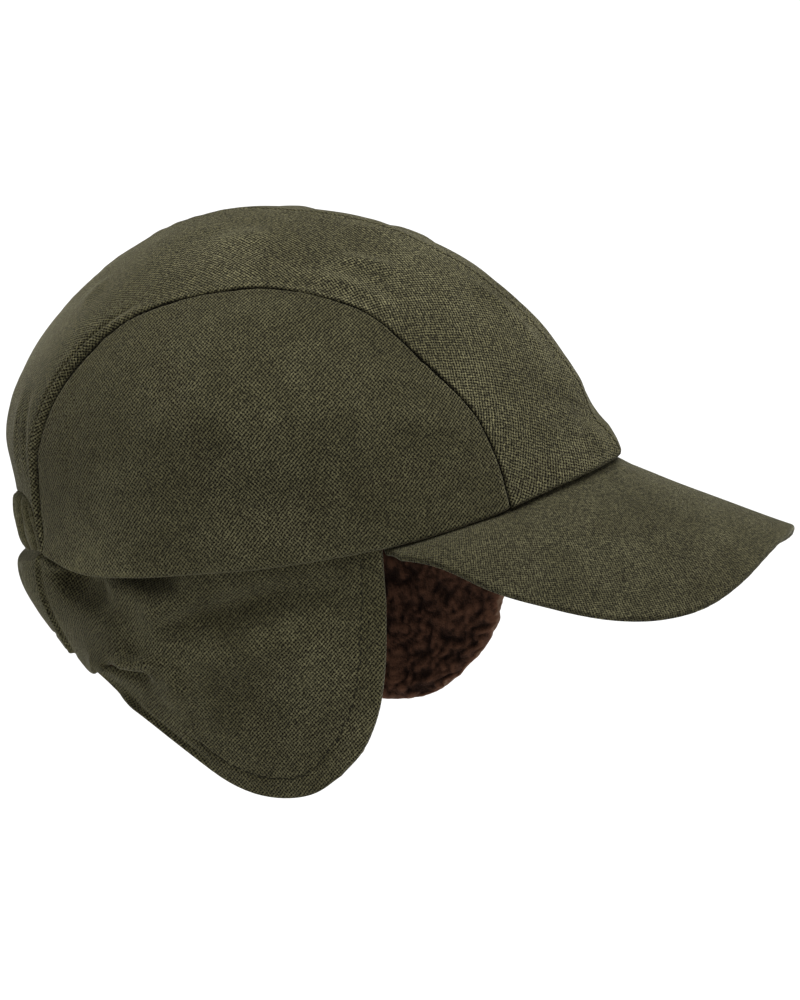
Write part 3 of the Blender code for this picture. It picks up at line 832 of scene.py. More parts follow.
gather_depth = CLOTH - INNER_PUFF * np.maximum(gather_puff, 0) - np.minimum(gather_puff, 0)
gather_inner = let_in(gather_base - gather_normal * gather_depth[..., None])
gather_length = np.linalg.norm(np.diff(gather_base[:, 0], axis=0), axis=-1).sum()
gather_height = np.linalg.norm(np.diff(gather_base[GATHER_STEPS[0] // 2], axis=0), axis=-1).sum()
gather_cut = pair(s * gather_length * GATHERED, t * gather_height * GATHERED)
gather_pattern = turned(gather_cut, CASING_TURN)
# Painted shade in the valleys, painted highlight on the ridges.
valley = PLEAT_SHADE * folded * np.exp(-((np.cos(phase) / VALLEY_WIDTH) ** 2))
gather_tone_and_light = CASING_TONE_AND_SHADE + PLEAT_RIDGE_HIGHLIGHT * pleat * folded - valley
gather_tone_and_light = gather_tone_and_light + CASING_PATCH * uneven(gather_base, PATCH_LENGTH, 11)
gather_tone_and_light = np.clip(gather_tone_and_light, CASING_DARKEST, 1)
print("pleats about", round(1000 * np.ptp(gather_base[..., 0]) / PLEATS, 1), "mm wide")

# %% [markdown]
# ## The peak
# The peak is a stiff blank between two layers of the cloth. It bends down to both sides like a saddle,
# and its inner edge follows the forehead under the crown's rim. Both faces roll over at its edge.

# %% The peak
PEAK_STEPS = (231, 84)
PEAK_ROLL = 0.0013
PEAK_WAVE, PEAK_WAVE_LENGTH = 0.00025, 0.03
PEAK_TURN = math.radians(20)
# The middle of the peak runs straighter than its sides: drop at the crown, rise a metre, half width.
MIDDLE_DROP, MIDDLE_RISE, MIDDLE_WIDTH = 0.0045, 0.174, 0.042


def peak_skin(place):
    """The upper skin: x runs from -1 to 1 between the ends, y from 0 at the crown to 1 at the edge."""
    end, out = np.abs(place[..., 0]), place[..., 1]
    normal, rim = crown_out(on_disc(end * PEAK_SPREAD, 1.0))
    under = rim - normal * (CLOTH + PEAK_TUCK)
    seat = (rim - normal * CLOTH)[..., 2] - PEAK_DROP
    stand = spline(PEAK_EDGE, end, (-1, 1))
    across = under[..., 0] + stand[..., 0] * PEAK_REACH * out
    ahead = -under[..., 1] + stand[..., 1] * PEAK_REACH * out

    def blank(across, ahead):
        past = ahead - (FRONT_REACH - POLE_AFT)
        bend = PEAK_BEND * (across / PEAK_BEND_WIDTH) ** 2
        curl = PEAK_CURL * (past / PEAK_REACH) ** 3
        straight = MIDDLE_RISE * np.clip(past, 0, None) - MIDDLE_DROP - np.clip(curl, 0, None)
        middle = np.exp(-((across / MIDDLE_WIDTH) ** 2))
        return RIM_RISE - PEAK_SLOPE * past + curl - bend + straight * middle

    away = np.hypot(across - under[..., 0], ahead + under[..., 1]) / PEAK_BLEND
    lifted = (seat - blank(under[..., 0], -under[..., 1])) * np.clip(1 - away, 0, None) ** 2
    return np.stack([np.copysign(across, place[..., 0]), -ahead, blank(across, ahead) + lifted], -1)


s, t = grid_places(*PEAK_STEPS)
peak_place = pair(2 * eased(s, 0.7) - 1, eased(t, 0.8))
peak_base = peak_skin(peak_place)
peak_normal = normal_of(peak_skin, peak_place, DISC_STEP)
brim = np.vstack([peak_base[0], peak_base[1:-1, -1], peak_base[-1, ::-1]])
from_brim, _ = near_path(peak_base, brim[::3])
bent = rolled(from_brim, PEAK_ROLL)
low_wave = PEAK_WAVE * uneven(peak_base, PEAK_WAVE_LENGTH, 20)
peak_outer = peak_base + peak_normal * (low_wave - bent)[..., None]
peak_inner = peak_base - peak_normal * (PEAK_THICK - low_wave - bent)[..., None]
peak_pattern = lay_flat(peak_outer, PEAK_TURN)
peak_tone_and_light = tone_with_painted_light(peak_base, low_wave, [brim], [], 21)
print("the peak is", round(1e4 * area_of(peak_outer)), "square cm")

# %% [markdown]
# ## The ear flaps and the neck flap
# The flaps hang from inside the crown's rim, so a place on them is an azimuth and a height. Their skin
# carries the crown's skin on below the rim, leans in towards the neck and has the large folds of the
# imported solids. The finer creases, the small pucker near the hem, the rolled strip along its rear run
# and the line of topstitching 7 mm inside the edge are added here.

# %% The flaps' skin
FLAP_STEP = 1e-4


def flap_fold(azimuth, up):
    """How far the large folds move a flap outwards."""
    total, place = 0.0, pair(np.abs(azimuth) * HALF_WIDTH, up)
    for turn_a, up_a, turn_b, up_b, width, height in FLAP_FOLDS:
        ends = flap_place(np.radians((turn_a, turn_b)), np.array((up_a, up_b)) * EAR_DROP)
        away, _ = near_path(place, ends)
        total = total + FOLD_DEPTH * height * np.exp(-((away / (width * EAR_DROP)) ** 2))
    return total


def flap_place(azimuth, up):
    return pair(azimuth * HALF_WIDTH, up)


def flap_skin(place):
    """The crown's skin carried on below the rim. x is the azimuth times HALF_WIDTH, y the height."""
    azimuth, up = place[..., 0] / HALF_WIDTH, place[..., 1]
    azimuth = azimuth - 2 * math.pi * np.rint(azimuth / (2 * math.pi))
    rim = rim_up(azimuth)
    drop = rim - up
    below = np.clip(drop, 0, None)
    run = FLARE_LENGTH * (1 - np.exp(-below / FLARE_LENGTH)) + np.minimum(drop, 0)
    ring_height = (CROWN_TOP - rim) * RINGS[1][0] * (len(RINGS) - 1)
    _, side, fore = plan_of(1 + run / ring_height, azimuth)
    round_the_ear = (np.abs(azimuth) - LEAN_FROM) / (math.pi - LEAN_FROM)
    lean = spline(LEAN, np.clip(round_the_ear, 0, None), None, (1,))[..., 0]
    leaned = FLAP_LEAN * lean * (below / LEAN_DEPTH) ** LEAN_POWER
    fold = flap_fold(azimuth, up) * (1 - np.exp(-below / SHOULDER))
    inwards = 1 + (fold - leaned) / np.hypot(side, fore)
    return np.stack([side * inwards, POLE_AFT - fore * inwards, up], -1)


def flap_path(rows):
    """Points on the flaps' skin along a path of azimuths in degrees and shares of EAR_DROP."""
    rows = np.array(rows, float)
    return flap_skin(flap_place(np.radians(rows[:, 0]), rows[:, 1] * EAR_DROP))


def hem_place(rows, share):
    values = spline(rows, share)
    return flap_place(FLAP_FRONT + np.radians(values[..., 0]), values[..., 1] * EAR_DROP)


def tucked(chart, hang):
    """A flap's chart that ends at the rim, carried on up inside the crown for its last steps."""

    def place(s, t):
        raised = np.clip((t - hang) / (1 - hang), 0, None) * FLAP_TUCK
        return chart(s, np.minimum(t / hang, 1)) + pair(0, raised)

    return place


def ear_hem(s):
    place = hem_place(EAR_HEM, s)
    stretch = (FLAP_SEAM * HALF_WIDTH - BUTT_GAP) / hem_place(EAR_HEM, 1.0)[0] - 1
    return pair(place[..., 0] * (1 + s * stretch), place[..., 1])


def ear_front(t):
    top = flap_place(FLAP_FRONT, rim_up(np.array(FLAP_FRONT)))
    raised = np.clip((t - EAR_FRONT_RUN) / (1 - EAR_FRONT_RUN), 0, 1)[..., None]
    low = hem_place(EAR_FRONT, 1 - np.minimum(t / EAR_FRONT_RUN, 1))
    return np.where((t < EAR_FRONT_RUN)[..., None], low, between(hem_place(EAR_FRONT, 0.0), top, raised))


def ear_chart():
    """s runs from the front edge to the neck seam, t from the hem up to the rim."""
    seam = FLAP_SEAM - BUTT_GAP / HALF_WIDTH

    def at_rim(s):
        turn = between(FLAP_FRONT, seam, s)
        return flap_place(turn, rim_up(turn))

    def at_seam(t):
        return between(ear_hem(np.array(1.0)), at_rim(np.array(1.0)), t[..., None])

    return patch(ear_hem, at_rim, ear_front, at_seam)


def neck_chart(s, t):
    """s runs round the back from the right seam to the left seam, t from the hem up to the rim."""
    away = np.abs(2 * s - 1)
    turn = between(math.pi, FLAP_SEAM + BUTT_GAP / HALF_WIDTH, away)
    low = spline(NECK_HEM, 1 - away, None, (1, 1))[..., 1] * EAR_DROP
    azimuth = np.where(s < 0.5, -turn, turn - 2 * math.pi)
    return flap_place(azimuth, between(low, rim_up(turn), t))


# %% The creases of the flaps, and the flaps' faces
EAR_STEPS = (150, 117)
NECK_STEPS = (129, 69)
EAR_TURN, NECK_TURN = math.radians(15), math.radians(8)
HANG = 0.9  # share of a flap's steps that hang below the rim
# Azimuth in degrees and height share along each crease, its half width and height in metres, and for the
# pocket below the side panel the share of its length over which it fades at either end.
FLAP_CREASES = (
    (((61.5, -0.023), (69.9, -0.086), (81.2, -0.156), (93.2, -0.247), (104.2, -0.338)), 0.0056, -0.0024),
    (((137.5, -0.040), (127.0, -0.080), (112.0, -0.068), (93.0, -0.020)), 0.0050, -0.0074, 0.2),
    (((141.0, -0.040), (131.0, -0.085), (119.0, -0.130)), 0.0026, 0.0030),
    (((134.0, -0.115), (125.0, -0.150), (113.0, -0.190)), 0.0038, -0.0036),
    (((117.5, -0.460), (109.2, -0.431), (103.6, -0.418), (98.7, -0.433)), 0.0022, 0.0034),
    (((115.5, -0.500), (108.1, -0.515), (102.3, -0.505)), 0.0036, -0.0042),
    (((99.7, -0.433), (97.8, -0.539), (101.4, -0.639)), 0.0036, 0.0018),
    (((93.2, -0.408), (81.2, -0.350), (72.2, -0.276)), 0.0050, 0.0006),
    (((111.8, -0.290), (103.0, -0.225), (90.3, -0.128)), 0.0045, 0.0015),
    (((109.7, -0.381), (96.1, -0.310), (83.7, -0.229)), 0.0042, 0.0015),
    (((70.0, -0.700), (82.0, -0.560), (90.0, -0.470)), 0.0060, -0.0006),
    (((60.0, -0.620), (66.0, -0.420), (64.0, -0.240)), 0.0070, 0.0005),
    (((150.5, -0.060), (150.0, -0.200), (151.5, -0.380)), 0.0028, -0.0010),
)
PUCKER_HOLE = ((114.2, -0.476), (116.2, -0.478))
HOLE_WIDTH, HOLE_DEPTH = 0.0020, -0.0060
FLAP_ROLL = 0.0009
# Distance, half width and height of each ridge and dip beside a seam, and of the rolled strip's.
RIDGE_BESIDE, DIP_BESIDE = (0.0005, 0.0006, 0.0012), (0.0024, 0.0012, -0.0004)
NECK_BESIDE = (0.0, 0.0010, -0.0005)
STRIP_FROM, STRIP_FULL = math.radians(88), math.radians(96)
STRIP_TO, STRIP_END = math.radians(112), math.radians(117)
STRIP_RIDGE, STRIP_DIP = (0.0011, 0.0009, 0.0006), (0.0030, 0.0010, -0.0007)
STITCH_INSET = 0.0070
STITCH_TO, STITCH_END = math.radians(94), math.radians(99)
STITCH_GROOVE, STITCH_GROOVE_WIDTH = -0.00050, 0.0007


def flap_face(place, hem, seams, beside, creases, seed):
    """A flap's skin, its inward normal, its relief and its distance from the hem."""
    base = flap_skin(place)
    normal = normal_of(flap_skin, place, FLAP_STEP)
    relief = SLOW_HEIGHT * uneven(base, SLOW_LENGTH, seed)
    for path, width, height, *fade in creases:
        relief = relief + crease(base, flap_path(path), width, height, *fade)
    away, _ = near_path(base, hem[::2])
    relief = relief - rolled(away, FLAP_ROLL)
    for seam in seams:
        from_seam, _ = near_path(base, seam[::3])
        relief = relief + sum(lip(from_seam, *row) for row in beside)
    return base, normal, relief, away


s, t = grid_places(*EAR_STEPS)
s, t = eased(s, 0.8), eased(t, 0.8)
ear_place = tucked(ear_chart(), HANG)(s, t)
ear_skin = flap_skin(ear_place)
ear_edge = np.vstack([ear_skin[0, ::-1], ear_skin[1:, 0]])
ear_base, ear_normal, ear_relief, from_edge = flap_face(
    ear_place, ear_edge, [ear_skin[-1]], (RIDGE_BESIDE, DIP_BESIDE), FLAP_CREASES, 30
)
hole_away, _ = near_path(ear_base, flap_path(PUCKER_HOLE))
ear_relief = ear_relief + lip(hole_away, 0, HOLE_WIDTH, HOLE_DEPTH)
ear_turn = ear_place[..., 0] / HALF_WIDTH
in_stitching = smooth_from(ear_turn, STITCH_END, STITCH_TO)
ear_relief = ear_relief + in_stitching * lip(from_edge, STITCH_INSET, STITCH_GROOVE_WIDTH, STITCH_GROOVE)
in_strip = smooth_from(ear_turn, STRIP_FROM, STRIP_FULL) * smooth_from(ear_turn, STRIP_END, STRIP_TO)
ear_relief = ear_relief + in_strip * (lip(from_edge, *STRIP_RIDGE) + lip(from_edge, *STRIP_DIP))
ear_depth = CLOTH + TUCK_GAP
ear_outer = ear_base + ear_normal * (ear_depth - ear_relief)[..., None]
ear_inner = ear_base + ear_normal * (ear_depth + FLAP_CLOTH - np.minimum(ear_relief, 0))[..., None]
# Painted shade: the flap's creases and the pocket under the side panel are painted darker through their
# depth.
ear_tone_and_light = tone_with_painted_light(ear_base, ear_relief, [ear_edge, ear_skin[-1]], [], 31)

s, t = grid_places(*NECK_STEPS)
neck_place = tucked(neck_chart, HANG)(eased(s, 0.8), eased(t, 0.7))
neck_skin = flap_skin(neck_place)
rear_path, rear_width, rear_height = FLAP_CREASES[-1]
mirrored_path = tuple((-turn, up) for turn, up in rear_path)
NECK_CREASES = (FLAP_CREASES[-1], (mirrored_path, rear_width, rear_height))
neck_seams = [neck_skin[0], neck_skin[-1]]
neck_base, neck_normal, neck_relief, from_hem = flap_face(
    neck_place, neck_skin[:, 0], neck_seams, (NECK_BESIDE,), NECK_CREASES, 34
)
neck_relief = neck_relief + lip(from_hem, STITCH_INSET, STITCH_GROOVE_WIDTH, STITCH_GROOVE)
neck_outer = neck_base + neck_normal * (ear_depth - neck_relief)[..., None]
neck_depth = ear_depth + FLAP_CLOTH - np.minimum(neck_relief, 0)
neck_inner = let_in(neck_base + neck_normal * neck_depth[..., None])
neck_tone_and_light = tone_with_painted_light(neck_base, neck_relief, [neck_skin[:, 0]], neck_seams, 35)
ear_pattern = lay_flat(ear_outer, EAR_TURN)
neck_pattern = lay_flat(neck_outer, NECK_TURN)
print("an ear flap is", round(1e4 * area_of(ear_outer)), "square cm")
print("the neck flap is", round(1e4 * area_of(neck_outer)), "square cm")

# %% [markdown]
# ## The fleece linings
# The linings are thick pile, sewn to the inside of the flaps. Curled pile looks like a crowd of soft,
# slanting tufts. Cells stretched along a slant give them: each vertex is raised by how near it lies to
# the middle of its cell. The pile rolls round at the flap's edge, and at the far flap, which shows its
# inside in the photograph, it reaches a little past the cloth.

# %% The linings
LINING_STEPS = (220, 138)
NECK_LINING_STEPS = (210, 74)
PILE_ROLL = 0.0060
WIDER_INSIDE = 0.0004
PAST_REACH = 0.004
PILE_THIN = 0.0042
# How far the pile reaches past the cloth at the front edge and at the hem.
PILE_PAST = {"left": (0.0030, 0.0005), "right": (-0.0006, -0.0006), "neck": (0.0, -0.0003)}
TUFT_WIDTH, TUFT_LENGTH, TUFT_HEIGHT = 0.0018, 0.0044, 0.0019
TUFT_SLANT = math.radians(-52)
TUFT_WANDER, WANDER_LENGTH = 0.0012, 0.006
TUFT_STEEP, TUFT_SUNK = 1.1, 0.6
FINE_HEIGHT, FINE_LENGTH = 0.0002, 0.0016
# How pale the pile is: low between the tufts, where the roots are painted nearly black as painted shade,
# and higher at the tips in the pile's own paler colour.
TIPS_LEAST, TIPS_BY_CURL, TIPS_BY_NOISE, TIPS_MOST = 0.10, 0.62, 0.12, 0.8
FORWARD_FROM, FORWARD_FULL = 0.1, 0.6
PAST_LEAST, PAST_BY_CURL = 0.7, 0.5
# Painted rim light: the pile is painted paler along its edge.
RIM_PAINTED_LIGHT, RIM_REACH = 0.8, 0.0011


def tufts(place, seed):
    """Heights from 0 to 1 of round tufts that lie along a slant."""
    cosine, sine = math.cos(TUFT_SLANT), math.sin(TUFT_SLANT)
    flat = np.concatenate([place, 0 * place[..., :1]], -1)
    shift = TUFT_WANDER * uneven(flat, WANDER_LENGTH, seed)
    along = (place[..., 0] * cosine + place[..., 1] * sine + shift) / TUFT_LENGTH
    across = (place[..., 1] * cosine - place[..., 0] * sine + shift) / TUFT_WIDTH
    cells = np.stack([along, across, 0 * along + seed], -1).reshape(-1, 3)
    away = np.array([noise.voronoi(Vector(cell))[0][0] for cell in cells.tolist()])
    return np.clip(1 - TUFT_STEEP * away * away, 0, 1).reshape(along.shape)


def pile(place, edge, creases, seed):
    """The seat and the soft face of a lining, and how pale its tips are, with a painted rim light along its
    edge.
    """
    curl = tufts(place, seed)
    base = flap_skin(place)
    normal = normal_of(flap_skin, place, FLAP_STEP)
    away, _ = near_path(base, edge[::2])
    fine = uneven(base, FINE_LENGTH, seed + 1)
    sunk = 0.0
    for path, width, height, *fade in creases:
        sunk = sunk + crease(base, flap_path(path), width + WIDER_INSIDE, height, *fade)
    depth = CLOTH + TUCK_GAP + FLAP_CLOTH + LINING_GAP - np.minimum(sunk, 0)
    thinned = PILE_THIN * rolled(away, PILE_ROLL) / PILE_ROLL
    high = FLEECE - thinned + TUFT_HEIGHT * (curl - TUFT_SUNK) + FINE_HEIGHT * fine
    tips = np.clip(TIPS_LEAST + TIPS_BY_CURL * curl**2 + TIPS_BY_NOISE * fine, 0, TIPS_MOST)
    # Painted rim light along the lining's edge.
    tips = np.clip(tips + RIM_PAINTED_LIGHT * np.exp(-away / RIM_REACH), 0, 1)
    return base + normal * depth[..., None], base + normal * (depth + high)[..., None], tips


def past_edge(place, curl, past):
    """A chart's places near the hem and the front edge, moved out a little past them."""
    across = np.gradient(place[:, 0], axis=0)
    down = pair(across[:, 1], -across[:, 0]) / np.linalg.norm(across, axis=-1, keepdims=True)
    rise = np.gradient(place[0], axis=0)
    forward = pair(-rise[:, 1], rise[:, 0]) / np.linalg.norm(rise, axis=-1, keepdims=True)
    from_hem = np.linalg.norm(place - place[:, :1], axis=-1)
    from_front = np.linalg.norm(place - place[:1], axis=-1)
    higher = smooth_from(np.linspace(0, 1, place.shape[1]), FORWARD_FROM, FORWARD_FULL)
    ahead = past[0] * higher * np.exp(-from_front / PAST_REACH)
    below = past[1] * np.exp(-from_hem / PAST_REACH)
    out = down[:, None] * below[..., None] + forward[None] * ahead[..., None]
    return place + out * (PAST_LEAST + PAST_BY_CURL * curl)[..., None]


def ear_lining(past):
    """The places of an ear lining on the flap's chart, its seat, its soft face and its tips."""
    s, t = grid_places(*LINING_STEPS)
    place = tucked(ear_chart(), HANG)(eased(s, 0.6), eased(t, 0.6))
    place = past_edge(place, tufts(place, 40), past)
    skin = flap_skin(place)
    edge = np.vstack([skin[0, ::-1], skin[1:, 0]])
    return place, *pile(place, edge, LINING_CREASES, 41)


LINING_CREASES = FLAP_CREASES + ((PUCKER_HOLE, HOLE_WIDTH, HOLE_DEPTH),)
EAR_LININGS = {word: ear_lining(PILE_PAST[word]) for word in ("left", "right")}

s, t = grid_places(*NECK_LINING_STEPS)
nape_place = tucked(neck_chart, HANG)(eased(s, 0.6), eased(t, 0.6))
nape_place = past_edge(nape_place, tufts(nape_place, 44), PILE_PAST["neck"])
nape_seat, nape_face, nape_tips = pile(nape_place, flap_skin(nape_place)[:, 0], NECK_CREASES, 45)
around = np.unwrap(nape_place[..., 0] / HALF_WIDTH, axis=0) * HALF_WIDTH
nape_pattern = pair(around, nape_place[..., 1])
print("an ear lining is", round(1e4 * area_of(EAR_LININGS["left"][2])), "square cm")

# %% [markdown]
# ## Materials
# The cloth is a coarse twill: paler threads with small dark gaps between them, staggered from row to
# row. Two cosines along the piece's own map, multiplied, give that lattice. To write such sums plainly
# a small class wraps a node's socket, so that + and * make Math nodes.

# %% Sums of sockets, and a material's nodes


class Wire:
    """A socket that can be added to, multiplied and so on. Each operation makes one Math node."""

    def __init__(self, recipe, socket):
        self.recipe, self.socket = recipe, socket

    def math(self, operation, *others):
        inputs = dict(enumerate((self, *others)))
        return self.recipe.node("ShaderNodeMath", inputs, operation=operation)

    def __add__(self, other):
        return self.math("ADD", other)

    def __sub__(self, other):
        return self.math("SUBTRACT", other)

    def __mul__(self, other):
        return self.math("MULTIPLY", other)

    def __truediv__(self, other):
        return self.math("DIVIDE", other)

    def __rsub__(self, other):
        return self * -1 + other

    __radd__, __rmul__ = __add__, __mul__


class Recipe:
    """A new material and its Principled shader, with a short way to add nodes."""

    def __init__(self, name):
        self.material = bpy.data.materials.new(name)
        self.material.use_nodes = True
        self.tree = self.material.node_tree
        self.shader = self.tree.nodes["Principled BSDF"]

    def put(self, socket, value):
        if isinstance(value, Wire):
            self.tree.links.new(value.socket, socket)
        else:
            socket.default_value = value

    def node(self, kind, inputs, output=0, **settings):
        made = self.tree.nodes.new(kind)
        for name, value in settings.items():
            setattr(made, name, value)
        for key, value in inputs.items():
            self.put(made.inputs[key], value)
        return Wire(self, made.outputs[output])

    def shade(self, **inputs):
        for name, value in inputs.items():
            self.put(self.shader.inputs[name.replace("_", " ")], value)

    def noise(self, places, scale, detail=2.0):
        return self.node("ShaderNodeTexNoise", {"Vector": places, "Scale": scale, "Detail": detail})

    def ramp(self, value, low, high, first=0.0, last=1.0):
        inputs = {"Value": value, "From Min": low, "From Max": high, "To Min": first, "To Max": last}
        return self.node("ShaderNodeMapRange", inputs, interpolation_type="SMOOTHSTEP")

    def mix(self, share, first, second):
        """A colour between two colours."""
        inputs = {0: share, 6: first, 7: second}
        return self.node("ShaderNodeMix", inputs, output=2, data_type="RGBA")

    def dim(self, colour, strength):
        """A colour times a number."""
        inputs = {0: colour, "Scale": strength}
        return self.node("ShaderNodeVectorMath", inputs, operation="SCALE")


# %% The olive cloth
THREAD_PALE = (0.112, 0.104, 0.055, 1)
THREAD = (0.072, 0.066, 0.032, 1)
THREAD_GAP = (0.004, 0.003, 0.001, 1)
# Painted shade down in the seams' grooves.
SEAM_PAINTED_SHADE = 0.12
# Where the cloth is palest, on edges and ridges, its gaps close by half, which adds to the painted
# highlight.
GAPS_WHERE_PALEST = 0.5
ROUGH_SHARE = 0.9
WANDER = (0.0010, 0.0010, 0)
# How many lumps of noise fit in a metre, for each layer of it.
WANDER_SCALE, LEAN_SCALE, FIBRE_SCALE = 420.0, 90.0, 2300.0
CLOUD_SCALE, PATCH_SCALE, GRAIN_SCALE = 28.0, 130.0, 1000.0
CLOUDY, PATCHY = 0.5, 0.4
GAP_ROUGH, GAP_SOFT = 1.5, 0.4
SLANT = 0.55
WEAVE_DEPTH = 0.00030
CLOTH_SHEEN = (0.9, 0.85, 0.6, 1)


def olive_weave(name, pitch, row, gap_size, shade, lean, grain_share):
    """Cloth with small dark gaps every pitch along a row, the next row half a pitch on."""
    cloth = Recipe(name)
    pattern = cloth.node("ShaderNodeUVMap", {}, uv_map="weave")
    position = cloth.node("ShaderNodeTexCoord", {}, output="Object")
    wander = cloth.node("ShaderNodeTexNoise", {"Vector": pattern, "Scale": WANDER_SCALE}, output="Color")
    centred = cloth.node("ShaderNodeVectorMath", {0: wander, 1: (0.5, 0.5, 0.5)}, operation="SUBTRACT")
    shifted = cloth.node(
        "ShaderNodeVectorMath", {0: centred, 1: WANDER, 2: pattern}, operation="MULTIPLY_ADD"
    )
    across = cloth.node("ShaderNodeSeparateXYZ", {0: shifted}, output="X")
    along = cloth.node("ShaderNodeSeparateXYZ", {0: shifted}, output="Y")
    across, along = across * (2 * math.pi / pitch), along * (2 * math.pi / row)
    slant = SLANT + (cloth.noise(position, LEAN_SCALE) - 0.5) * lean
    lattice = (across + along).math("COSINE") * slant + (across - along).math("COSINE") * (1 - slant)
    rough = cloth.ramp(cloth.noise(pattern, FIBRE_SCALE), 0.3, 0.7)
    clouds = cloth.noise(position, CLOUD_SCALE) - 0.5
    tone_and_painted_light = cloth.node("ShaderNodeAttribute", {}, output="Fac", attribute_name="tone_and_painted_light")
    closed = cloth.ramp(tone_and_painted_light, 0.80, 1.0, 1.0, GAPS_WHERE_PALEST)
    depth = lattice + (rough - 0.5) * GAP_ROUGH
    gaps = closed * cloth.ramp(depth, gap_size - GAP_SOFT, gap_size + GAP_SOFT)
    patches = cloth.noise(position, PATCH_SCALE) - 0.5
    pale = cloth.ramp(tone_and_painted_light + clouds * CLOUDY + patches * PATCHY, 0.15, 0.95)
    # Painted shade: the thread darkens down in a seam, where the tone value is near 0.
    painted_seam_shade = cloth.ramp(tone_and_painted_light, 0.0, 0.15, SEAM_PAINTED_SHADE, 1.0)
    # Each piece's painted light level: the same cloth is painted lighter on the top and darker on the other
    # pieces, most of all on the peak.
    thread = cloth.dim(cloth.mix(pale, THREAD, THREAD_PALE), painted_seam_shade * shade)
    grain = cloth.ramp(cloth.noise(position, GRAIN_SCALE), 0.3, 0.7)
    plain = 1 - (ROUGH_SHARE + grain_share) / 2
    flecked = cloth.dim(thread, rough * ROUGH_SHARE + grain * grain_share + plain)
    height = (1 - gaps) * 0.75 + rough * 0.25
    normal = cloth.node("ShaderNodeBump", {"Height": height, "Distance": WEAVE_DEPTH, "Strength": 1.0})
    cloth.shade(Base_Color=cloth.mix(gaps, flecked, THREAD_GAP), Normal=normal, Roughness=0.9)
    cloth.shade(Specular_IOR_Level=0.1)
    cloth.shade(Sheen_Weight=0.26, Sheen_Roughness=0.22, Sheen_Tint=CLOTH_SHEEN)
    return cloth.material


# Pitch and row in metres, size of the gaps, painted light level, lean of the lattice and strength of the
# grain.
OLIVE_TOP = olive_weave("olive twill on the top", 0.00136, 0.00152, 0.05, 1.10, 0.6, 1.1)
OLIVE_SIDE = olive_weave("olive twill on the sides", 0.00130, 0.00146, 0.15, 0.92, 0.6, 0.7)
OLIVE_FLAP = olive_weave("olive twill on the flaps", 0.00132, 0.00147, 0.15, 0.98, 0.3, 0.7)
OLIVE_CASING = olive_weave("olive twill on the casing", 0.00110, 0.00122, 0.55, 0.90, 0.3, 0.6)
OLIVE_PEAK = olive_weave("olive twill on the peak", 0.00104, 0.00116, 0.25, 0.66, 0.3, 1.0)
print("the top's cloth is", OLIVE_TOP.name)

# %% The brown fleece
# The roots are painted nearly black as painted shade between the tufts, the tips are paler in the pile's
# own colour, and the edge is pale as a painted rim light.
FLEECE_DEEP = (0.0035, 0.0014, 0.0007, 1)
FLEECE_TIP = (0.080, 0.036, 0.020, 1)
FLEECE_RIM_LIGHT = (0.130, 0.080, 0.052, 1)
FLEECE_SHEEN = (0.6, 0.3, 0.2, 1)
HAIR_SCALE, TANGLE_SCALE = 1900.0, 420.0
FLUFF_DEPTH = 0.0005

fleece = Recipe("brown fleece")
position = fleece.node("ShaderNodeTexCoord", {}, output="Object")
tips = fleece.node("ShaderNodeAttribute", {}, output="Fac", attribute_name="tone_and_painted_light")
hairs = fleece.noise(position, HAIR_SCALE)
tangle = fleece.noise(position, TANGLE_SCALE)
bright = fleece.ramp(tips + (hairs - 0.5) * 0.5 + (tangle - 0.5) * 0.4, 0.05, 1.0)
fluff = fleece.node("ShaderNodeBump", {"Height": hairs + tangle, "Distance": FLUFF_DEPTH, "Strength": 0.9})
brown = fleece.mix(bright, FLEECE_DEEP, FLEECE_TIP)
# Painted rim light along the edge.
rim = fleece.ramp(tips, 0.80, 1.0)
fleece.shade(Base_Color=fleece.mix(rim, brown, FLEECE_RIM_LIGHT), Normal=fluff, Roughness=0.95)
fleece.shade(Specular_IOR_Level=0.1, Sheen_Weight=0.12, Sheen_Roughness=0.6, Sheen_Tint=FLEECE_SHEEN)
FLEECE_PILE = fleece.material
print("pile material:", FLEECE_PILE.name)

# %% [markdown]
# ## Sewing the cap
# Now the faces become pieces. The crown's panels are stretched over the head's form, and the flaps hang
# from them.

# %% The pieces of cloth and pile
TOP_FACES = (top_outer, top_inner, top_pattern, top_tone_and_light, OLIVE_TOP, "olive_cloth")
SIDE_FACES = (side_outer, side_inner, side_pattern, side_tone_and_light, OLIVE_SIDE, "olive_cloth")
EAR_FACES = (ear_outer, ear_inner, ear_pattern, ear_tone_and_light, OLIVE_FLAP, "olive_cloth")
CLOTH_PIECES = (
    ("top_cloth_", "crown_top_", TOP_FACES, "stretched", "crown_side_"),
    ("side_cloth_", "crown_side_", SIDE_FACES, "stretched", "crown_top_"),
    ("ear_flap_cloth_", "ear_flap_", EAR_FACES, "hung", "crown_side_"),
)
for word, hand in (("left", 1), ("right", -1)):
    for title, node, faces, held, neighbour in CLOTH_PIECES:
        piece = sewn(title + word, *faces, node + word, hand)
        neighbour + word
    pattern, seat, face, tips = EAR_LININGS[word]
    faces = (face, seat, pattern, tips, FLEECE_PILE, "brown_fleece")
    piece = sewn("ear_pile_" + word, *faces, "ear_lining_" + word, hand)

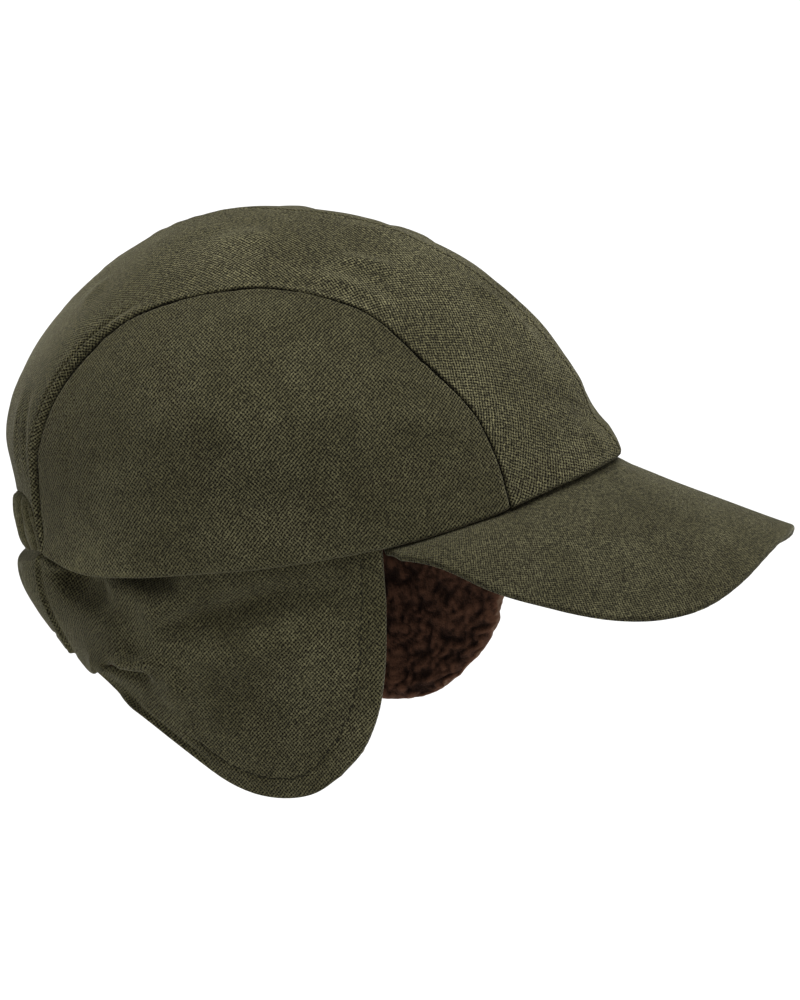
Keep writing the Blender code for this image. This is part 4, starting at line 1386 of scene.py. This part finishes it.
# %% The pieces that are there once
CASING_FACES = (gather_outer, gather_inner, gather_pattern, gather_tone_and_light, OLIVE_CASING, "olive_cloth")
piece = sewn("casing_cloth", *CASING_FACES, "back_gather")
NECK_FACES = (neck_outer, neck_inner, neck_pattern, neck_tone_and_light, OLIVE_FLAP, "olive_cloth")
piece = sewn("neck_flap_cloth", *NECK_FACES, "neck_flap")
NAPE_FACES = (nape_face, nape_seat, nape_pattern, nape_tips, FLEECE_PILE, "brown_fleece")
piece = sewn("neck_pile", *NAPE_FACES, "neck_lining")
PEAK_FACES = (peak_outer, peak_inner, peak_pattern, peak_tone_and_light, OLIVE_PEAK, "olive_cloth")
sewn("peak_blank", *PEAK_FACES, "peak")

# %% [markdown]
# ## Topstitching
# One line of stitches runs 7 mm inside the ear flap's edge. Each stitch is a small flattened sphere
# that lies in the groove that its thread has pulled. All the stitches of a flap are one mesh.

# %% The stitches
STITCH_PITCH, STITCH_LENGTH, STITCH_WIDTH = 0.0030, 0.0022, 0.00032
STITCH_SIDES, STITCH_RINGS = 8, 6
CLEAR_OF_RIM = 0.003
THREAD_SHADE = (0.014, 0.013, 0.007, 1)

thread = Recipe("olive thread")
thread.shade(Base_Color=THREAD_SHADE, Roughness=0.8, Specular_IOR_Level=0.1)


def inset_path(edge, inset, pitch):
    """Places every pitch along a chart's edge, moved to the left of its run by an inset."""
    lengths = np.concatenate([[0], np.cumsum(np.linalg.norm(np.diff(edge, axis=0), axis=-1))])
    even = np.arange(pitch, lengths[-1] - pitch, pitch)
    places = np.stack([np.interp(even, lengths, edge[:, k]) for k in range(2)], -1)
    run = np.gradient(places, axis=0)
    aside = pair(-run[:, 1], run[:, 0]) / np.linalg.norm(run, axis=-1, keepdims=True)
    return places + aside * inset


def stitched(name, places, chart, outer, hand):
    """A row of stitches that lie on the cloth at places of its chart."""
    flat_chart = chart.reshape(-1, 2)
    spots = [np.argmin(np.linalg.norm(flat_chart - place, axis=-1)) for place in places]
    points = outer.reshape(-1, 3)[spots] * (hand, 1, 1)
    runs = np.gradient(points, axis=0)
    centre = Vector((0, POLE_AFT, 0))
    mesh = bmesh.new()
    for point, run in zip(points, runs):
        run = Vector(run).normalized()
        out = (Vector(point) - centre) * Vector((1, 1, 0))
        aside = run.cross(out).normalized()
        along_thread = Matrix((run, aside, aside.cross(run))).transposed().to_4x4()
        size = Matrix.Diagonal((STITCH_LENGTH / 2, STITCH_WIDTH, STITCH_WIDTH, 1))
        laid = Matrix.Translation(point) @ along_thread @ size
        bmesh.ops.create_uvsphere(
            mesh, u_segments=STITCH_SIDES, v_segments=STITCH_RINGS, radius=1, matrix=laid
        )
    data = bpy.data.meshes.new(name)
    mesh.to_mesh(data)
    mesh.free()
    data.shade_smooth()
    data.materials.append(thread.material)
    piece = bpy.data.objects.new(name, data)
    bpy.context.scene.collection.objects.link(piece)
    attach(piece, "root")
    return piece


ear_border = np.vstack([ear_place[0, ::-1], ear_place[1:, 0]])
ear_line = inset_path(ear_border, STITCH_INSET, STITCH_PITCH)
below_rim = ear_line[:, 1] < rim_up(ear_line[:, 0] / HALF_WIDTH) - CLEAR_OF_RIM
ear_line = ear_line[below_rim & (ear_line[:, 0] < STITCH_TO * HALF_WIDTH)]
for word, hand in (("left", 1), ("right", -1)):
    stitched("ear_flap_stitches_" + word, ear_line, ear_place, ear_outer, hand)
print(len(ear_line), "stitches a flap")

# %% [markdown]
# ## Floor and light
# The photograph was taken on white. A wide pale floor below the cap, a faint white sky and two very
# soft lights give that: one from above brightens the top, one from behind the gathered back, and the
# sides are lit by the floor.

# %% Floor, sky and light
FLOOR_BELOW = 0.25
FLOOR_SIZE = 30.0
LIGHT_TILT = math.radians(13)
LIGHT_FROM = Vector((-0.2, -1.0, 0))
LIGHT_SOFTNESS = math.radians(50)
LIGHT_ENERGY = 5.2
BEHIND_FROM = Vector((-0.15, 1.0, 0.25))
BEHIND_ENERGY = 0.9
SKY_STRENGTH = 0.25
FLOOR_PALE = (0.60, 0.60, 0.60, 1)

mesh = bmesh.new()
bmesh.ops.create_grid(mesh, x_segments=1, y_segments=1, size=FLOOR_SIZE / 2)
bmesh.ops.translate(mesh, verts=mesh.verts[:], vec=(0, 0, -FLOOR_BELOW))
floor_mesh = bpy.data.meshes.new("floor")
mesh.to_mesh(floor_mesh)
mesh.free()
floor_paint = Recipe("white floor")
floor_paint.shade(Base_Color=FLOOR_PALE, Roughness=1.0, Specular_IOR_Level=0.0)
floor_mesh.materials.append(floor_paint.material)
floor = bpy.data.objects.new("floor", floor_mesh)
bpy.context.scene.collection.objects.link(floor)

sky = bpy.data.worlds.new("sky")
sky.use_nodes = True
sky.node_tree.nodes["Background"].inputs["Color"].default_value = (1, 1, 1, 1)
sky.node_tree.nodes["Background"].inputs["Strength"].default_value = SKY_STRENGTH
bpy.context.scene.world = sky

lamp = bpy.data.objects.new("lamp", bpy.data.lights.new("lamp", "SUN"))
bpy.context.scene.collection.objects.link(lamp)
lamp.data.energy = LIGHT_ENERGY
lamp.data.angle = LIGHT_SOFTNESS
towards_lamp = Vector((0, 0, 1)) + LIGHT_FROM * math.tan(LIGHT_TILT)
lamp.rotation_euler = towards_lamp.to_track_quat("Z", "Y").to_euler()
behind = bpy.data.objects.new("light behind", bpy.data.lights.new("light behind", "SUN"))
bpy.context.scene.collection.objects.link(behind)
behind.data.energy = BEHIND_ENERGY
behind.data.angle = LIGHT_SOFTNESS
behind.rotation_euler = BEHIND_FROM.to_track_quat("Z", "Y").to_euler()
bpy.context.scene.view_settings.view_transform = "Standard"
